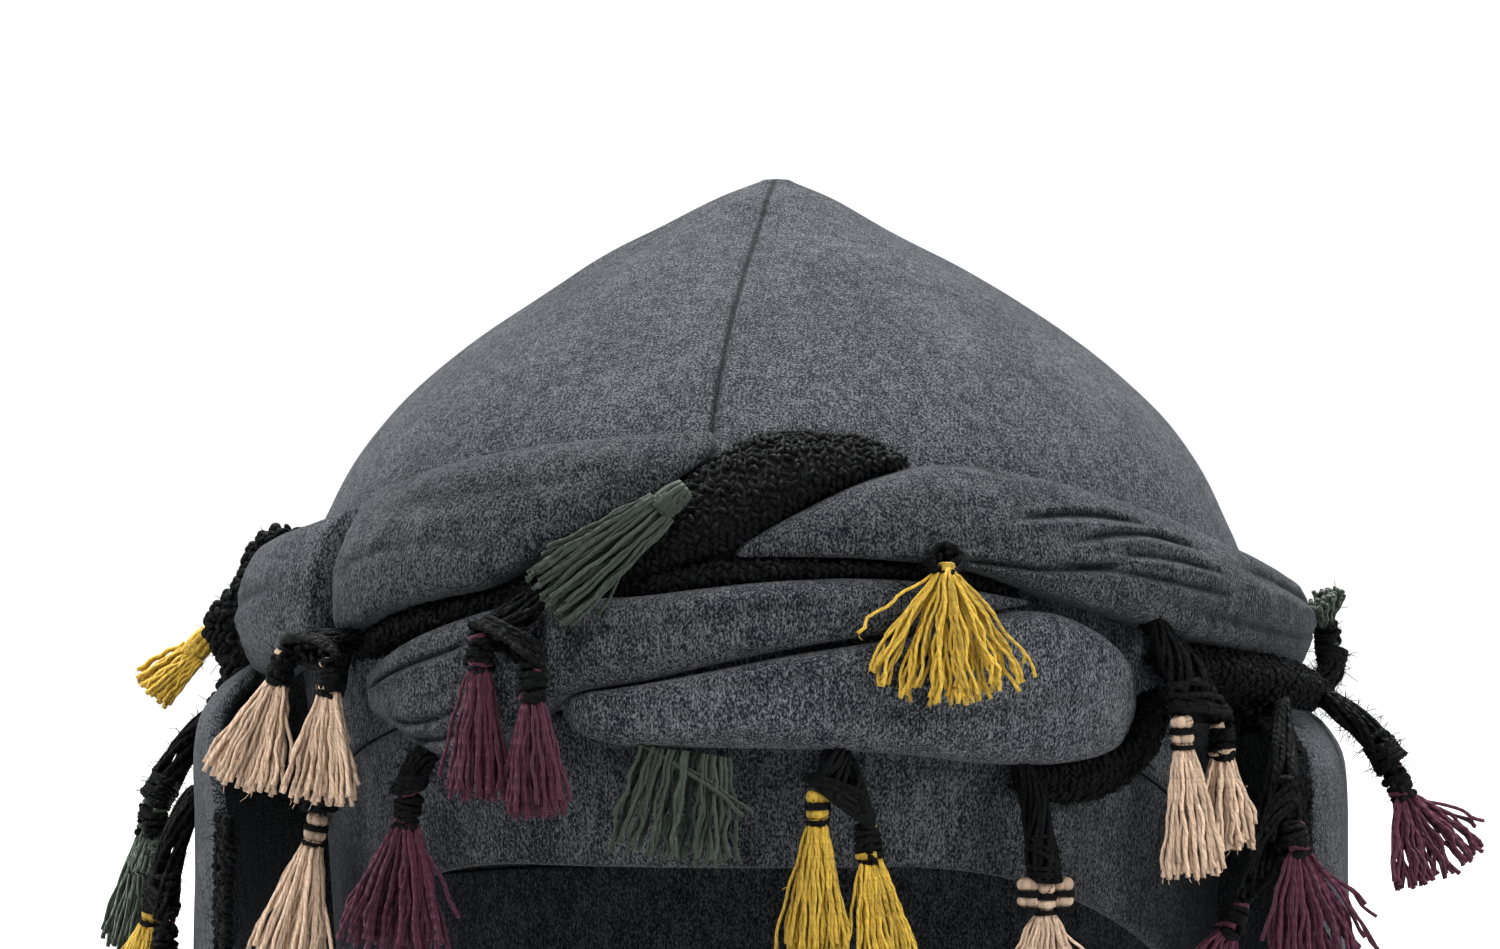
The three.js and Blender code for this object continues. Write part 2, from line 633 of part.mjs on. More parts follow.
const tucked = { down: 0, below: 0 };
const hem = { down: 1, below: 0 };
const hemTop = { down: 1, below: gap };
const hemFoot = { down: 1, below: drapeTrimWidth };
const drape = { from: drapeEdge.right, to: drapeEdge.left, columns: drapeWaves * 3 };
const border = { top: tucked, bottom: hemFoot, thickness: trimThickness, columns: 1, rows: 5 };
const [right, left] = [drapeEdge.right, drapeEdge.left];
const strips = [
  ["neck_drape", { ...drape, top: tucked, bottom: hem, thickness: clothThickness, rows: 4 }, wool],
  ["trim_hem", { ...drape, top: hemTop, bottom: hemFoot, thickness: trimThickness, rows: 1 }, yarns.black],
  ["trim_drape_right", { ...border, from: right - borderAngle, to: right - gapAngle }, yarns.black],
  ["trim_drape_left", { ...border, from: left + gapAngle, to: left + borderAngle }, yarns.black],
];
for (const [name, strip, look] of strips) addPiece(name, clearOf(drapeSolid(strip), grown), look);
for (const [, strip] of strips) grown.push(drapeSolid(strip, gap));

const heads = [];
for (const tassel of tassels) {
  const mesh = addPiece(tassel.name, tasselSolid(tassel), yarns[tassel.yarn]);
  heads.push(headRoom(hung(mesh, { ...tassel, facing: tassel.at * frontTurn }, tasselPlace(tassel))));
}
const hemForm = { swing: 0, lean: 0, length: 1, splay: 0.9 };
for (const tassel of hemTassels) {
  const form = { ...tassel, ...hemForm, facing: tassel.at };
  const place = onDrape(tassel.at, hemFoot.down, hemFoot.below + 2 * gap, trimThickness / 2);
  hung(addPiece(tassel.name, tasselSolid(form), yarns[tassel.yarn]), form, place);
}
for (const stem of stems) addPiece(stem.name, clearOf(stemSolid(stem), [...grown, ...heads]), yarns.black);

export default cap;
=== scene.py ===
"""The looks of a tasseled turban cap: grey heather jersey, black crochet trim and yarn tassels.

Metres, +Z up. The front faces -Y. Angles are in degrees about +Z from the front, positive towards +X.
The tables hold shares of the sizes in the property groups, as the part's own source does.
"""

import math
import random
from collections import namedtuple

import bmesh
import bpy
import numpy as np
from bpy.props import FloatProperty, FloatVectorProperty, IntProperty, PointerProperty
from bpy.types import Operator, Panel, PropertyGroup
from mathutils import Euler, Matrix, Vector, noise


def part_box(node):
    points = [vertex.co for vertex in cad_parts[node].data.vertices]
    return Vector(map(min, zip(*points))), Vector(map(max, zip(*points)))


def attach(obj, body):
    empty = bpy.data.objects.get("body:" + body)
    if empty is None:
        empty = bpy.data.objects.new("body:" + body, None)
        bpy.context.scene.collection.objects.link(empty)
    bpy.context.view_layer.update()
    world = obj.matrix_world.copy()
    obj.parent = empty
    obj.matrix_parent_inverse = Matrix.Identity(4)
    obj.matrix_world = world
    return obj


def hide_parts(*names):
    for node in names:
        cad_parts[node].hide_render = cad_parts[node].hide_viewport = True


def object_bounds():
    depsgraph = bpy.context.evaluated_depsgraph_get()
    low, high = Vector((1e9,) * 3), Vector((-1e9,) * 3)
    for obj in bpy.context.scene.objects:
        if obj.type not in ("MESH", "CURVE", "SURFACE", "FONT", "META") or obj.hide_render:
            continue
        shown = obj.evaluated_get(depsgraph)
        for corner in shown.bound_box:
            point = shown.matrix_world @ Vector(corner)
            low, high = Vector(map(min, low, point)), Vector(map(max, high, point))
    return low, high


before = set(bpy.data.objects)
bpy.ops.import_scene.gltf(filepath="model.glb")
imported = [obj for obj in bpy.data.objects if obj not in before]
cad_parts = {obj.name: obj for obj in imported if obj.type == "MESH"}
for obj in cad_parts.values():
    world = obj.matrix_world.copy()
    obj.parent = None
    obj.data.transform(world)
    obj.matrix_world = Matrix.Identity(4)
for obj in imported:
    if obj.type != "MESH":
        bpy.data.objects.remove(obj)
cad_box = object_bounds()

bl_info = {
    "name": "Tasseled turban cap",
    "version": (1, 0, 0),
    "blender": (4, 5, 0),
    "location": "View3D > Sidebar > Cap",
    "description": "Builds the jersey, crochet and tassels of a turban cap round its packed solids",
    "category": "Object",
}

BODY = "root"
MM = 0.001

# Tables

Level = namedtuple("Level", "height width")
Fold = namedtuple("Fold", "at top low bulge")
Crease = namedtuple("Crease", "start end up_start up_end arch depth width")
Dent = namedtuple("Dent", "at height reach depth")
Tuck = namedtuple("Tuck", "at top tuck")
Fall = namedtuple("Fall", "down out")
Tassel = namedtuple("Tassel", "name yarn head at top out swing lean length splay")
HemTassel = namedtuple("HemTassel", "name yarn at")
Stem = namedtuple("Stem", "name carries at top out")
Place = namedtuple("Place", "at top out")
Lamp = namedtuple("Lamp", "name spot size power")


def table(kind, *rows):
    return [kind(*row) for row in rows]


# The crown's outline from the front: shares of its height and half width
CROWN_OUTLINE = table(
    Level,
    (-0.8, 0.88),
    (-0.3, 0.9),
    (0, 0.925),
    (0.2, 0.965),
    (0.33, 0.98),
    (0.42, 0.967),
    (0.51, 0.915),
    (0.58, 0.863),
    (0.65, 0.787),
    (0.72, 0.684),
    (0.79, 0.555),
    (0.86, 0.4),
    (0.92, 0.24),
    (0.97, 0.12),
    (1, 0.02),
)

# Slack places of the crown: reach as a share of its height, depth of its half width
CROWN_DENTS = table(
    Dent,
    (-75, 0.9, 0.05, 0.026),
    (-60, 0.8, 0.09, -0.016),
    (80, 0.86, 0.09, -0.014),
    (150, 0.74, 0.12, -0.025),
    (-150, 0.7, 0.12, -0.02),
    (30, 0.72, 0.08, 0.01),
)

# The wound folds: edges as shares of the wrap's height, how proud as a share of its bulge
FOLDS = {
    "fold_upper_left": table(
        Fold,
        (-46, 0.832, 0.533, 0.5),
        (-40, 0.868, 0.535, 0.8),
        (-33, 0.911, 0.583, 0.95),
        (-27, 0.938, 0.612, 1),
        (-21, 0.957, 0.638, 0.95),
        (-16, 0.97, 0.701, 0.85),
        (-9, 0.984, 0.795, 0.7),
        (-4, 0.989, 0.863, 0.6),
        (1, 0.993, 0.945, 0.4),
    ),
    "fold_upper_right": table(
        Fold,
        (3.5, 0.728, 0.707, 0.25),
        (10, 0.809, 0.708, 0.6),
        (17, 0.878, 0.703, 0.85),
        (26, 0.917, 0.679, 1),
        (36, 0.893, 0.613, 1),
        (45, 0.854, 0.566, 1),
        (53, 0.812, 0.522, 1),
        (66, 0.737, 0.48, 1),
        (84, 0.658, 0.434, 1.05),
        (104, 0.605, 0.382, 1.05),
        (135, 0.55, 0.3, 1),
        (165, 0.526, 0.255, 1),
        (190, 0.515, 0.285, 0.85),
        (210, 0.47, 0.35, 0.4),
    ),
    "fold_left_side": table(
        Fold,
        (-214, 0.75, 0.66, 0.4),
        (-200, 0.79, 0.605, 0.8),
        (-170, 0.816, 0.56, 1),
        (-140, 0.79, 0.48, 1),
        (-110, 0.75, 0.42, 1.05),
        (-80, 0.737, 0.4, 1.05),
        (-59, 0.77, 0.434, 1.05),
        (-48, 0.81, 0.49, 0.8),
        (-46.5, 0.815, 0.51, 0.6),
    ),
    "fold_middle": table(
        Fold,
        (-41, 0.421, 0.355, 0.3),
        (-33, 0.496, 0.297, 0.75),
        (-29, 0.53, 0.254, 0.9),
        (-24, 0.566, 0.226, 1),
        (-19.5, 0.592, 0.283, 1),
        (-15, 0.6, 0.349, 0.9),
        (-11.5, 0.612, 0.398, 0.85),
        (-5, 0.621, 0.427, 0.85),
        (1, 0.639, 0.46, 0.85),
        (8, 0.655, 0.497, 0.8),
        (16, 0.66, 0.528, 0.75),
        (23, 0.65, 0.548, 0.65),
        (29, 0.626, 0.582, 0.5),
        (34, 0.608, 0.598, 0.3),
    ),
    "fold_low": table(
        Fold,
        (-14, 0.386, 0.362, 0.3),
        (-11.5, 0.403, 0.309, 0.6),
        (-7.5, 0.413, 0.283, 0.85),
        (-1, 0.44, 0.279, 1),
        (8, 0.483, 0.276, 1),
        (16, 0.514, 0.268, 1),
        (23, 0.535, 0.254, 1),
        (28, 0.566, 0.239, 1),
        (33, 0.585, 0.232, 1),
        (38, 0.568, 0.232, 0.95),
        (44, 0.505, 0.25, 0.8),
        (48, 0.434, 0.29, 0.5),
        (50, 0.395, 0.355, 0.25),
    ),
}

# Creases of the folds: angles where each starts and ends, and its place across the fold from -1 to 1 at both.
# Then how far it arches, its depth as a share of the fold's edge, and its width as a share of half the fold
CREASES = {
    "fold_upper_left": table(
        Crease,
        (-44, -20, -0.15, -0.45, 0.2, 0.16, 0.1),
        (-36, -12, 0.45, 0.2, 0.1, 0.12, 0.12),
    ),
    "fold_upper_right": table(
        Crease,
        (25, 33, 0.97, 0.85, 0.08, 0.3, 0.05),
        (31, 50, 0.12, 0.62, 0.12, 0.5, 0.05),
        (37, 57, -0.08, 0.5, 0.2, 0.55, 0.045),
        (42, 60, -0.1, 0.2, 0.1, 0.4, 0.045),
        (23, 46, -0.9, -0.05, -0.12, 0.5, 0.05),
        (33, 62, -0.5, -0.12, 0.05, 0.42, 0.06),
        (50, 92, -0.55, -0.25, -0.1, 0.3, 0.09),
        (60, 130, 0.45, 0.3, 0.1, 0.25, 0.1),
        (90, 170, -0.1, -0.35, 0.1, 0.3, 0.1),
        (130, 200, 0.5, 0.35, -0.1, 0.25, 0.1),
    ),
    "fold_left_side": table(
        Crease,
        (-90, -52, -0.3, 0.1, 0.15, 0.2, 0.1),
        (-150, -80, 0.35, 0.2, -0.1, 0.25, 0.1),
        (-190, -110, -0.4, -0.25, 0.1, 0.3, 0.1),
    ),
    "fold_middle": table(
        Crease,
        (-40, -19, 0.1, 0.6, 0.14, 0.45, 0.055),
        (-34, -21, -0.75, -0.15, 0.05, 0.42, 0.05),
        (-32, -21, -0.92, -0.42, 0.02, 0.42, 0.05),
        (-29, -20, -0.98, -0.66, 0.0, 0.34, 0.05),
        (-30, -12, -0.15, 0.2, 0.1, 0.14, 0.12),
        (-14, 18, 0.3, 0.4, -0.1, 0.14, 0.14),
    ),
    "fold_low": table(
        Crease,
        (-8, 22, 0.6, 0.35, 0.1, 0.12, 0.16),
        (10, 40, -0.3, -0.1, -0.1, 0.1, 0.16),
    ),
}

# How light each fold's knit is painted, from 0 to 1: painted light and shade that stands in for how the light
# falls on each fold
FOLD_PAINTED_LIGHT = {
    "fold_upper_left": 0.4,
    "fold_upper_right": 0.41,
    "fold_left_side": 0.5,
    "fold_middle": 0.47,
    "fold_low": 0.6,
}

# Painted shade on the brow band, which lies in shadow under the folds; 0.5 is neutral
BAND_PAINTED_SHADE = 0.43

# The black crochet that shows between the folds, in the columns of the folds
TRIMS = {
    "trim_front": table(
        Fold,
        (-15, 0.67, 0.625, 0.45),
        (-9, 0.776, 0.64, 0.6),
        (-4, 0.849, 0.67, 0.65),
        (0, 0.914, 0.7, 0.65),
        (4, 0.964, 0.735, 0.65),
        (8, 0.987, 0.79, 0.65),
        (13, 0.987, 0.849, 0.6),
        (18, 0.971, 0.892, 0.5),
        (22.5, 0.928, 0.915, 0.3),
    ),
    "trim_middle": table(
        Fold,
        (-13, 0.623, 0.607, 0.35),
        (-5, 0.665, 0.618, 0.45),
        (1, 0.69, 0.64, 0.5),
        (6, 0.7, 0.653, 0.5),
        (16, 0.697, 0.663, 0.5),
        (23, 0.687, 0.651, 0.5),
        (29, 0.664, 0.629, 0.4),
        (33, 0.632, 0.612, 0.3),
    ),
    "trim_left": table(
        Fold,
        (-42, 0.515, 0.46, 0.4),
        (-35, 0.57, 0.505, 0.5),
        (-28, 0.605, 0.54, 0.5),
        (-21, 0.632, 0.58, 0.5),
        (-16.5, 0.66, 0.612, 0.4),
    ),
    "trim_low": table(
        Fold,
        (33, 0.23, 0.184, 0.4),
        (40, 0.24, 0.145, 0.6),
        (46, 0.28, 0.158, 0.7),
        (51, 0.37, 0.21, 0.7),
        (55, 0.4, 0.29, 0.4),
    ),
    "trim_right": table(
        Fold,
        (52.5, 0.5, 0.46, 0.6),
        (60, 0.49, 0.38, 1.1),
        (75, 0.47, 0.33, 1.4),
        (95, 0.42, 0.3, 1.4),
        (120, 0.36, 0.24, 1.2),
        (140, 0.3, 0.22, 0.6),
    ),
}

# The neck drape's top edge round the nape, and where it comes out from under the folds
DRAPE_TOP = table(
    Tuck,
    (71, 0.36, 0.36),
    (120, 0.33, 0.33),
    (150, 0.3, 0.3),
    (180, 0.29, 0.29),
    (200, 0.36, 0.36),
    (225, 0.5, 0.5),
    (250, 0.46, 0.46),
    (280, 0.44, 0.44),
    (290, 0.38, 0.42),
    (300, 0.1, 0.4),
)

# How it falls from there: shares of its drop and of its flare
DRAPE_FALL = table(
    Fall,
    (0, 0.3),
    (0.08, 0.6),
    (0.22, 0.84),
    (0.55, 0.97),
    (1.1, 1.06),
    (2, 1.15),
)

# The tassels: yarn, the head's binding, its place, the swing and lean in degrees,
# and shares of the skirt's length and radius
TASSELS = table(
    Tassel,
    ("tassel_01", "green", "own", -1, 0.864, 0.69, -50, 13, 1.1, 0.75),
    ("tassel_02a", "burgundy", "knotted", -19, 0.537, 1, -1, 0, 0.98, 0.68),
    ("tassel_02b", "burgundy", "knotted", -14, 0.466, 1, 4, 0, 0.86, 0.66),
    ("tassel_03a", "beige", "knotted", -46, 0.487, 1, -16, 8, 0.86, 0.9),
    ("tassel_03b", "beige", "knotted", -38, 0.468, 1, -3, 0, 0.84, 0.85),
    ("tassel_04", "beige", "banded", -47, 0.105, 0.7, -12, 0, 1, 0.95),
    ("tassel_05", "burgundy", "knotted", -31, 0.17, 0.55, -5, 2, 1, 1.25),
    ("tassel_06", "green", "curtain", -1, 0.272, 0.35, -8, 2, 0.56, 1.35),
    ("tassel_07a", "mustard", "banded", 11.6, 0.186, 0.5, -1, 0, 1, 0.66),
    ("tassel_07b", "mustard", "knotted", 16.2, 0.104, 0.5, 8, 0, 0.86, 0.64),
    ("tassel_08", "mustard", "loop", 23, 0.704, 1, 0, 8, 0.82, 1.8),
    ("tassel_09", "beige", "wide", 36, -0.032, 0.5, 0, 0, 0.75, 0.9),
    ("tassel_10a", "beige", "banded", 50, 0.342, 1, 2, 0, 0.97, 0.68),
    ("tassel_10b", "beige", "knotted", 57, 0.32, 1, 0, -2, 0.7, 0.62),
    ("tassel_11a", "burgundy", "knotted", 62, 0.09, 2.1, 8, 4, 0.9, 1.25),
    ("tassel_11b", "burgundy", "knotted", 57.5, -0.1, 1.7, -28, 2, 0.65, 0.65),
    ("tassel_12", "burgundy", "knotted", 85, 0.195, 2.45, 15, 12, 0.72, 1.4),
    ("tassel_13", "green", "knotted", 112, 0.46, 1.5, -150, 2, 0.25, 0.5),
    ("tassel_14a", "green", "knotted", -98, 0.079, 3.35, -4, 8, 1, 0.7),
    ("tassel_14b", "green", "knotted", -92, 0.072, 2.95, 0, 2, 0.3, 0.5),
    ("tassel_15", "mustard", "banded", -89, -0.145, 2.95, -14, 6, 0.8, 0.8),
    ("tassel_16", "burgundy", "knotted", -81, -0.2, 2.6, 0, 0, 0.8, 0.65),
    ("tassel_17", "mustard", "own", -98, 0.5, 1.9, -30, 30, 0.45, 0.55),
)
HEM_TASSELS = table(
    HemTassel,
    ("tassel_hem_1", "beige", 105),
    ("tassel_hem_2", "green", 137),
    ("tassel_hem_3", "mustard", 169),
    ("tassel_hem_4", "burgundy", 201),
    ("tassel_hem_5", "beige", 233),
)

# The crochet stems: the tassels each carries and where it starts
STEMS = table(
    Stem,
    ("stem_02", ("tassel_02a", "tassel_02b"), -15.5, 0.625, 0.4),
    ("stem_03", ("tassel_03a", "tassel_03b"), -41, 0.515, 0.4),
    ("stem_04", ("tassel_04",), -46.8, 0.5, 0.15),
    ("stem_05", ("tassel_05",), -28.5, 0.27, 0.5),
    ("stem_07", ("tassel_07a", "tassel_07b"), 13.5, 0.285, 0.45),
    ("stem_08", ("tassel_08",), 23, 0.672, 0.45),
    ("stem_09", ("tassel_09",), 33, 0.25, 0.4),
    ("stem_10", ("tassel_10a", "tassel_10b"), 49, 0.56, 0.6),
    ("stem_11", ("tassel_11a", "tassel_11b"), 69, 0.36, 1.3),
    ("stem_12", ("tassel_12",), 86, 0.36, 1.4),
    ("stem_13", ("tassel_13",), 108, 0.34, 1.3),
    ("stem_14", ("tassel_14a", "tassel_14b"), -97, 0.33, 1.9),
    ("stem_15", ("tassel_15", "tassel_16"), -86, 0.12, 2.2),
)

# The middle of the loose crochet ruffle at the left
RUFFLE = table(
    Place,
    (-100, 0.76, 0.9),
    (-98, 0.6, 1.55),
    (-96, 0.42, 1.6),
    (-94, 0.22, 1.75),
)


# Properties


def length(name, description, default):
    return FloatProperty(
        name=name,
        description=description,
        default=default,
        precision=4,
        subtype="DISTANCE",
        unit="LENGTH",
    )


def colour(name, description, default):
    return FloatVectorProperty(
        name=name,
        description=description,
        default=default,
        size=4,
        min=0,
        max=1,
        subtype="COLOR",
    )


crown_low, crown_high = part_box("crown")
WIDEST = 0.98  # the outline's widest share
CROWN_HALF_WIDTH = (crown_high[0] - crown_low[0]) / 2 / WIDEST
CROWN_HALF_DEPTH = (crown_high[1] - crown_low[1]) / 2 / WIDEST


class CapSizes(PropertyGroup):
    """Sizes of the cap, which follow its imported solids"""

    crown_height: length("Crown height", "Brow rim to peak", crown_high[2])
    half_width: length("Crown half width", "At its widest", CROWN_HALF_WIDTH)
    half_depth: length("Crown half depth", "Front to back, halved", CROWN_HALF_DEPTH)
    cloth: length("Cloth", "One layer of the jersey", 2.2 * MM)
    band_height: length("Band height", "Of the brow band", 27 * MM)
    band_cloth: length("Band thickness", "A doubled layer", 3.2 * MM)
    rim_dip: length("Rim dip", "How far the rim falls to the nape", 36 * MM)
    wrap_height: length("Wrap height", "Brow rim to the folds' top", 76 * MM)
    wrap_bulge: length("Wrap bulge", "How proud a full fold stands", 11 * MM)
    fold_edge: length("Fold edge", "A fold's thickness at its edges", 3 * MM)
    drape_drop: length("Drape drop", "Brow rim down to the drape's hem", 52 * MM)
    drape_flare: length("Drape flare", "How far it hangs off the crown's line", 22 * MM)
    drape_wave: length("Drape wave", "Half the depth of its hanging folds", 2 * MM)
    border: length("Border", "Width of the drape's crochet border", 11 * MM)
    trim_cloth: length("Trim thickness", "Of the crochet border", 3 * MM)
    strand: length("Stem radius", "Of a crochet stem", 1.8 * MM)
    knot: length("Knot radius", "Of a stem's knot", 3.2 * MM)
    ruffle: length("Ruffle radius", "Half the ruffle's width", 6 * MM)
    head_length: length("Head length", "Of a tassel's bound head", 6.5 * MM)
    head_radius: length("Head radius", "Of a tassel's bound head", 2.8 * MM)
    skirt_length: length("Skirt length", "Of a tassel below its head", 23 * MM)
    skirt_radius: length("Skirt radius", "Of a tassel at its cut end", 8.5 * MM)
    gap: length("Gap", "Kept between neighbours", 0.3 * MM)
    seat: length("Seat", "A fold's inner face off the crown", 0.95 * MM)
    yarn: length("Yarn radius", "Of one strand of a tassel", 0.38 * MM)
    stitch: length("Stitch", "Pitch of the crochet stitches", 1.3 * MM)
    strands: IntProperty(name="Strands", description="In a tassel's skirt", default=50, min=8, max=80)


class CapColours(PropertyGroup):
    """Colours of the cloth and yarns"""

    jersey_dark: colour("Jersey, dark fibre", "The heather's dark fibres", (0.005, 0.0075, 0.01, 1))
    jersey_light: colour("Jersey, light fibre", "The heather's light fibres", (0.132, 0.137, 0.147, 1))
    black: colour("Black crochet", "Trim and stems", (0.0024, 0.0025, 0.0029, 1))
    green: colour("Green yarn", "Tassels", (0.034, 0.047, 0.034, 1))
    burgundy: colour("Burgundy yarn", "Tassels", (0.055, 0.0075, 0.021, 1))
    mustard: colour("Mustard yarn", "Tassels", (0.6, 0.385, 0.045, 1))
    beige: colour("Beige yarn", "Tassels", (0.66, 0.475, 0.34, 1))
    floor: colour("Floor", "The studio's floor and wall", (0.5, 0.5, 0.5, 1))


# The cap's own surfaces

TURN = 360
RIM_LEVEL = (20, 110)
FRONT_TURN = 0.5  # a tassel faces this share of its angle
DRAPE_EDGE = (71, 300)
DRAPE_WAVES = 8
SEAM_DEPTH = 0.75 * MM
SEAM_WIDTH = 0.75 * MM
COURSE_SLOPE = 0.41  # how far the crown's knitted rows fall outwards
DRAPE_MAP = (0.04, 0.075)  # how much wider the drape's map is than its top edge, and the map's height


def along(rows, key, column, at):
    """A column's value at a place between the rows of a table, on one smooth curve"""
    places = [getattr(row, key) for row in rows]
    values = [getattr(row, column) for row in rows]
    last = len(rows) - 1
    if at <= places[0]:
        return values[0]
    if at >= places[last]:
        return values[last]
    i = next(n for n, place in enumerate(places) if place > at) - 1

    def slope(n):
        before, after = max(n - 1, 0), min(n + 1, last)
        return (values[after] - values[before]) / (places[after] - places[before])

    span = places[i + 1] - places[i]
    t = (at - places[i]) / span
    return (
        values[i] * (1 + 2 * t) * (1 - t) ** 2
        + slope(i) * span * t * (1 - t) ** 2
        + values[i + 1] * t**2 * (3 - 2 * t)
        - slope(i + 1) * span * t**2 * (1 - t)
    )


def smooth_step(value, low, high):
    t = min(max((value - low) / (high - low), 0), 1)
    return t * t * (3 - 2 * t)


def mix(start, end, share):
    return start + (end - start) * share


def turned(angle):
    return (angle + TURN / 2) % TURN - TURN / 2


def outwards(angle):
    turn = math.radians(angle)
    return Vector((math.sin(turn), -math.cos(turn), 0))


def sideways(angle):
    turn = math.radians(angle)
    return Vector((math.cos(turn), math.sin(turn), 0))


class Cap:
    """The cap's curves, from the sizes in the sidebar"""

    def __init__(self, sizes):
        for name in sizes.bl_rna.properties.keys():
            if name not in ("rna_type", "name"):
                setattr(self, name, getattr(sizes, name))
        steps = 600
        low, high = CROWN_OUTLINE[0].height, CROWN_OUTLINE[-1].height
        self.levels = [
            along(CROWN_OUTLINE, "height", "width", mix(low, high, i / steps)) for i in range(steps + 1)
        ]
        self.level_low, self.level_step = low, (high - low) / steps

    def radius(self, angle, height):
        place = (height / self.crown_height - self.level_low) / self.level_step
        i = min(max(int(place), 0), len(self.levels) - 2)
        share = mix(self.levels[i], self.levels[i + 1], min(max(place - i, 0), 1))
        a, b = self.half_width * share, self.half_depth * share
        turn = math.radians(angle)
        return a * b / math.hypot(b * math.sin(turn), a * math.cos(turn))

    def on_hat(self, angle, height, off):
        reach = self.radius(angle, height) + off
        turn = math.radians(angle)
        return Vector((math.sin(turn) * reach, -math.cos(turn) * reach, height))

    def run(self, start, end, off=0.0):
        """How far it is round the crown from one angle to another"""
        return math.radians(end - start) * (self.half_width + self.half_depth + 2 * off) / 2

    def rim_at(self, angle):
        return -self.rim_dip * smooth_step(abs(turned(angle)), *RIM_LEVEL)

    def band_top(self, angle):
        return self.rim_at(angle) + self.band_height

    def dents(self, angle, height):
        total = 0
        for dent in CROWN_DENTS:
            across = math.radians(turned(angle - dent.at)) * self.radius(angle, height)
            up = height - dent.height * self.crown_height
            reach = math.hypot(across, up) / (dent.reach * self.crown_height)
            total += dent.depth * self.half_width * math.exp(-(reach**2))
        return total

    def on_drape(self, at, down, below, off):
        top = along(DRAPE_TOP, "at", "top", at) * self.wrap_height
        tuck = along(DRAPE_TOP, "at", "tuck", at) * self.wrap_height
        height = mix(top, -self.drape_drop, down) - below
        fall = (tuck - height) / self.drape_drop
        turn = (at - DRAPE_EDGE[0]) / (DRAPE_EDGE[1] - DRAPE_EDGE[0]) * DRAPE_WAVES * math.tau
        wave = self.drape_wave * math.sin(turn) * min(fall, 1)
        return self.on_hat(at, height, along(DRAPE_FALL, "down", "out", fall) * self.drape_flare + wave + off)

    def tassel_place(self, tassel):
        off = tassel.out * self.wrap_bulge + self.head_radius + self.gap
        return self.on_hat(tassel.at, tassel.top * self.wrap_height, off)


# Making meshes

FIBRE = 0.07 * MM  # the radius of a loose fibre
UV_MAP = "cloth"
# The vertex attribute of each strand's or stitch's random tone, and on the jersey of painted shade and light
SHADE = "shade"
MERGE = 1e-6
LOOP_STEPS = 14
YARN_SIDES = 6


def bent_grid(bm, columns, rows, place, flat, around=False, material=0, shade=0.5):
    """A grid with each point moved to place(across, up)

    flat is its UV map in metres, as a width and a height or as flat(across, up).
    """
    uv = bm.loops.layers.uv.get(UV_MAP) or bm.loops.layers.uv.new(UV_MAP)
    shades = bm.verts.layers.float.get(SHADE) or bm.verts.layers.float.new(SHADE)
    made = bmesh.ops.create_grid(bm, x_segments=columns, y_segments=rows, size=0.5, calc_uvs=True)["verts"]
    faces = {face for vert in made for face in vert.link_faces}
    for face in faces:
        face.smooth = True
        face.material_index = material
        for loop in face.loops:
            across, up = loop.vert.co.x + 0.5, loop.vert.co.y + 0.5
            loop[uv].uv = flat(across, up) if callable(flat) else (across * flat[0], up * flat[1])
    for vert in made:
        across, up = vert.co.x + 0.5, vert.co.y + 0.5
        vert[shades] = shade(across, up) if callable(shade) else shade
        vert.co = place(across, up)
    if around:
        bmesh.ops.remove_doubles(bm, verts=made, dist=MERGE)
    return faces


class Stamp:
    """A small closed shape that its operator makes once, and that is copied into a mesh many times"""

    made = {}

    def __init__(self, name, bm):
        bmesh.ops.recalc_face_normals(bm, faces=bm.faces)
        self.mesh = bpy.data.meshes.new(name)
        bm.to_mesh(self.mesh)
        bm.free()
        self.points = np.empty(len(self.mesh.vertices) * 3, np.float32)
        self.mesh.vertices.foreach_get("co", self.points)
        self.points = self.points.reshape(-1, 3)
        if SHADE not in self.mesh.attributes:
            self.mesh.attributes.new(SHADE, "FLOAT", "POINT")
        self.map = np.empty(len(self.mesh.loops) * 2, np.float32)
        self.mesh.uv_layers[UV_MAP].uv.foreach_get("vector", self.map)

    @classmethod
    def tube(cls, sides, stations):
        """A tube of radius 1 whose rings stand at 0, 1, 2 and so on, shut at both ends"""
        key = ("tube", sides, stations)
        if key not in cls.made:
            bm = bmesh.new()

            def place(around, share):
                i = round(share * (stations - 1))
                radius = 0 if i in (0, stations - 1) else 1
                turn = around * math.tau
                return Vector((math.cos(turn) * radius, math.sin(turn) * radius, i))

            bent_grid(bm, sides, stations - 1, place, (1, 1), True)
            cls.made[key] = cls("stamp_tube", bm)
        return cls.made[key]

    @classmethod
    def ball(cls, fine):
        """A ball of radius 1"""
        key = ("ball", fine)
        if key not in cls.made:
            bm = bmesh.new()
            bm.loops.layers.uv.new(UV_MAP)
            bm.verts.layers.float.new(SHADE)
            bmesh.ops.create_icosphere(bm, subdivisions=fine, radius=1)
            for face in bm.faces:
                face.smooth = True
            cls.made[key] = cls("stamp_ball", bm)
        return cls.made[key]

    def press(self, bm, points, material, shade, run=1.0):
        """Copies the shape into a bmesh at its new points"""
        mesh = self.mesh
        mesh.vertices.foreach_set("co", points.astype(np.float32).ravel())
        mesh.attributes[SHADE].data.foreach_set("value", np.full(len(points), shade, np.float32))
        flat = self.map.copy()
        flat[1::2] *= run
        mesh.uv_layers[UV_MAP].uv.foreach_set("vector", flat)
        mesh.polygons.foreach_set("material_index", np.full(len(mesh.polygons), material, np.int32))
        bm.from_mesh(mesh)

    @classmethod
    def clear(cls):
        for stamp in cls.made.values():
            bpy.data.meshes.remove(stamp.mesh)
        cls.made.clear()


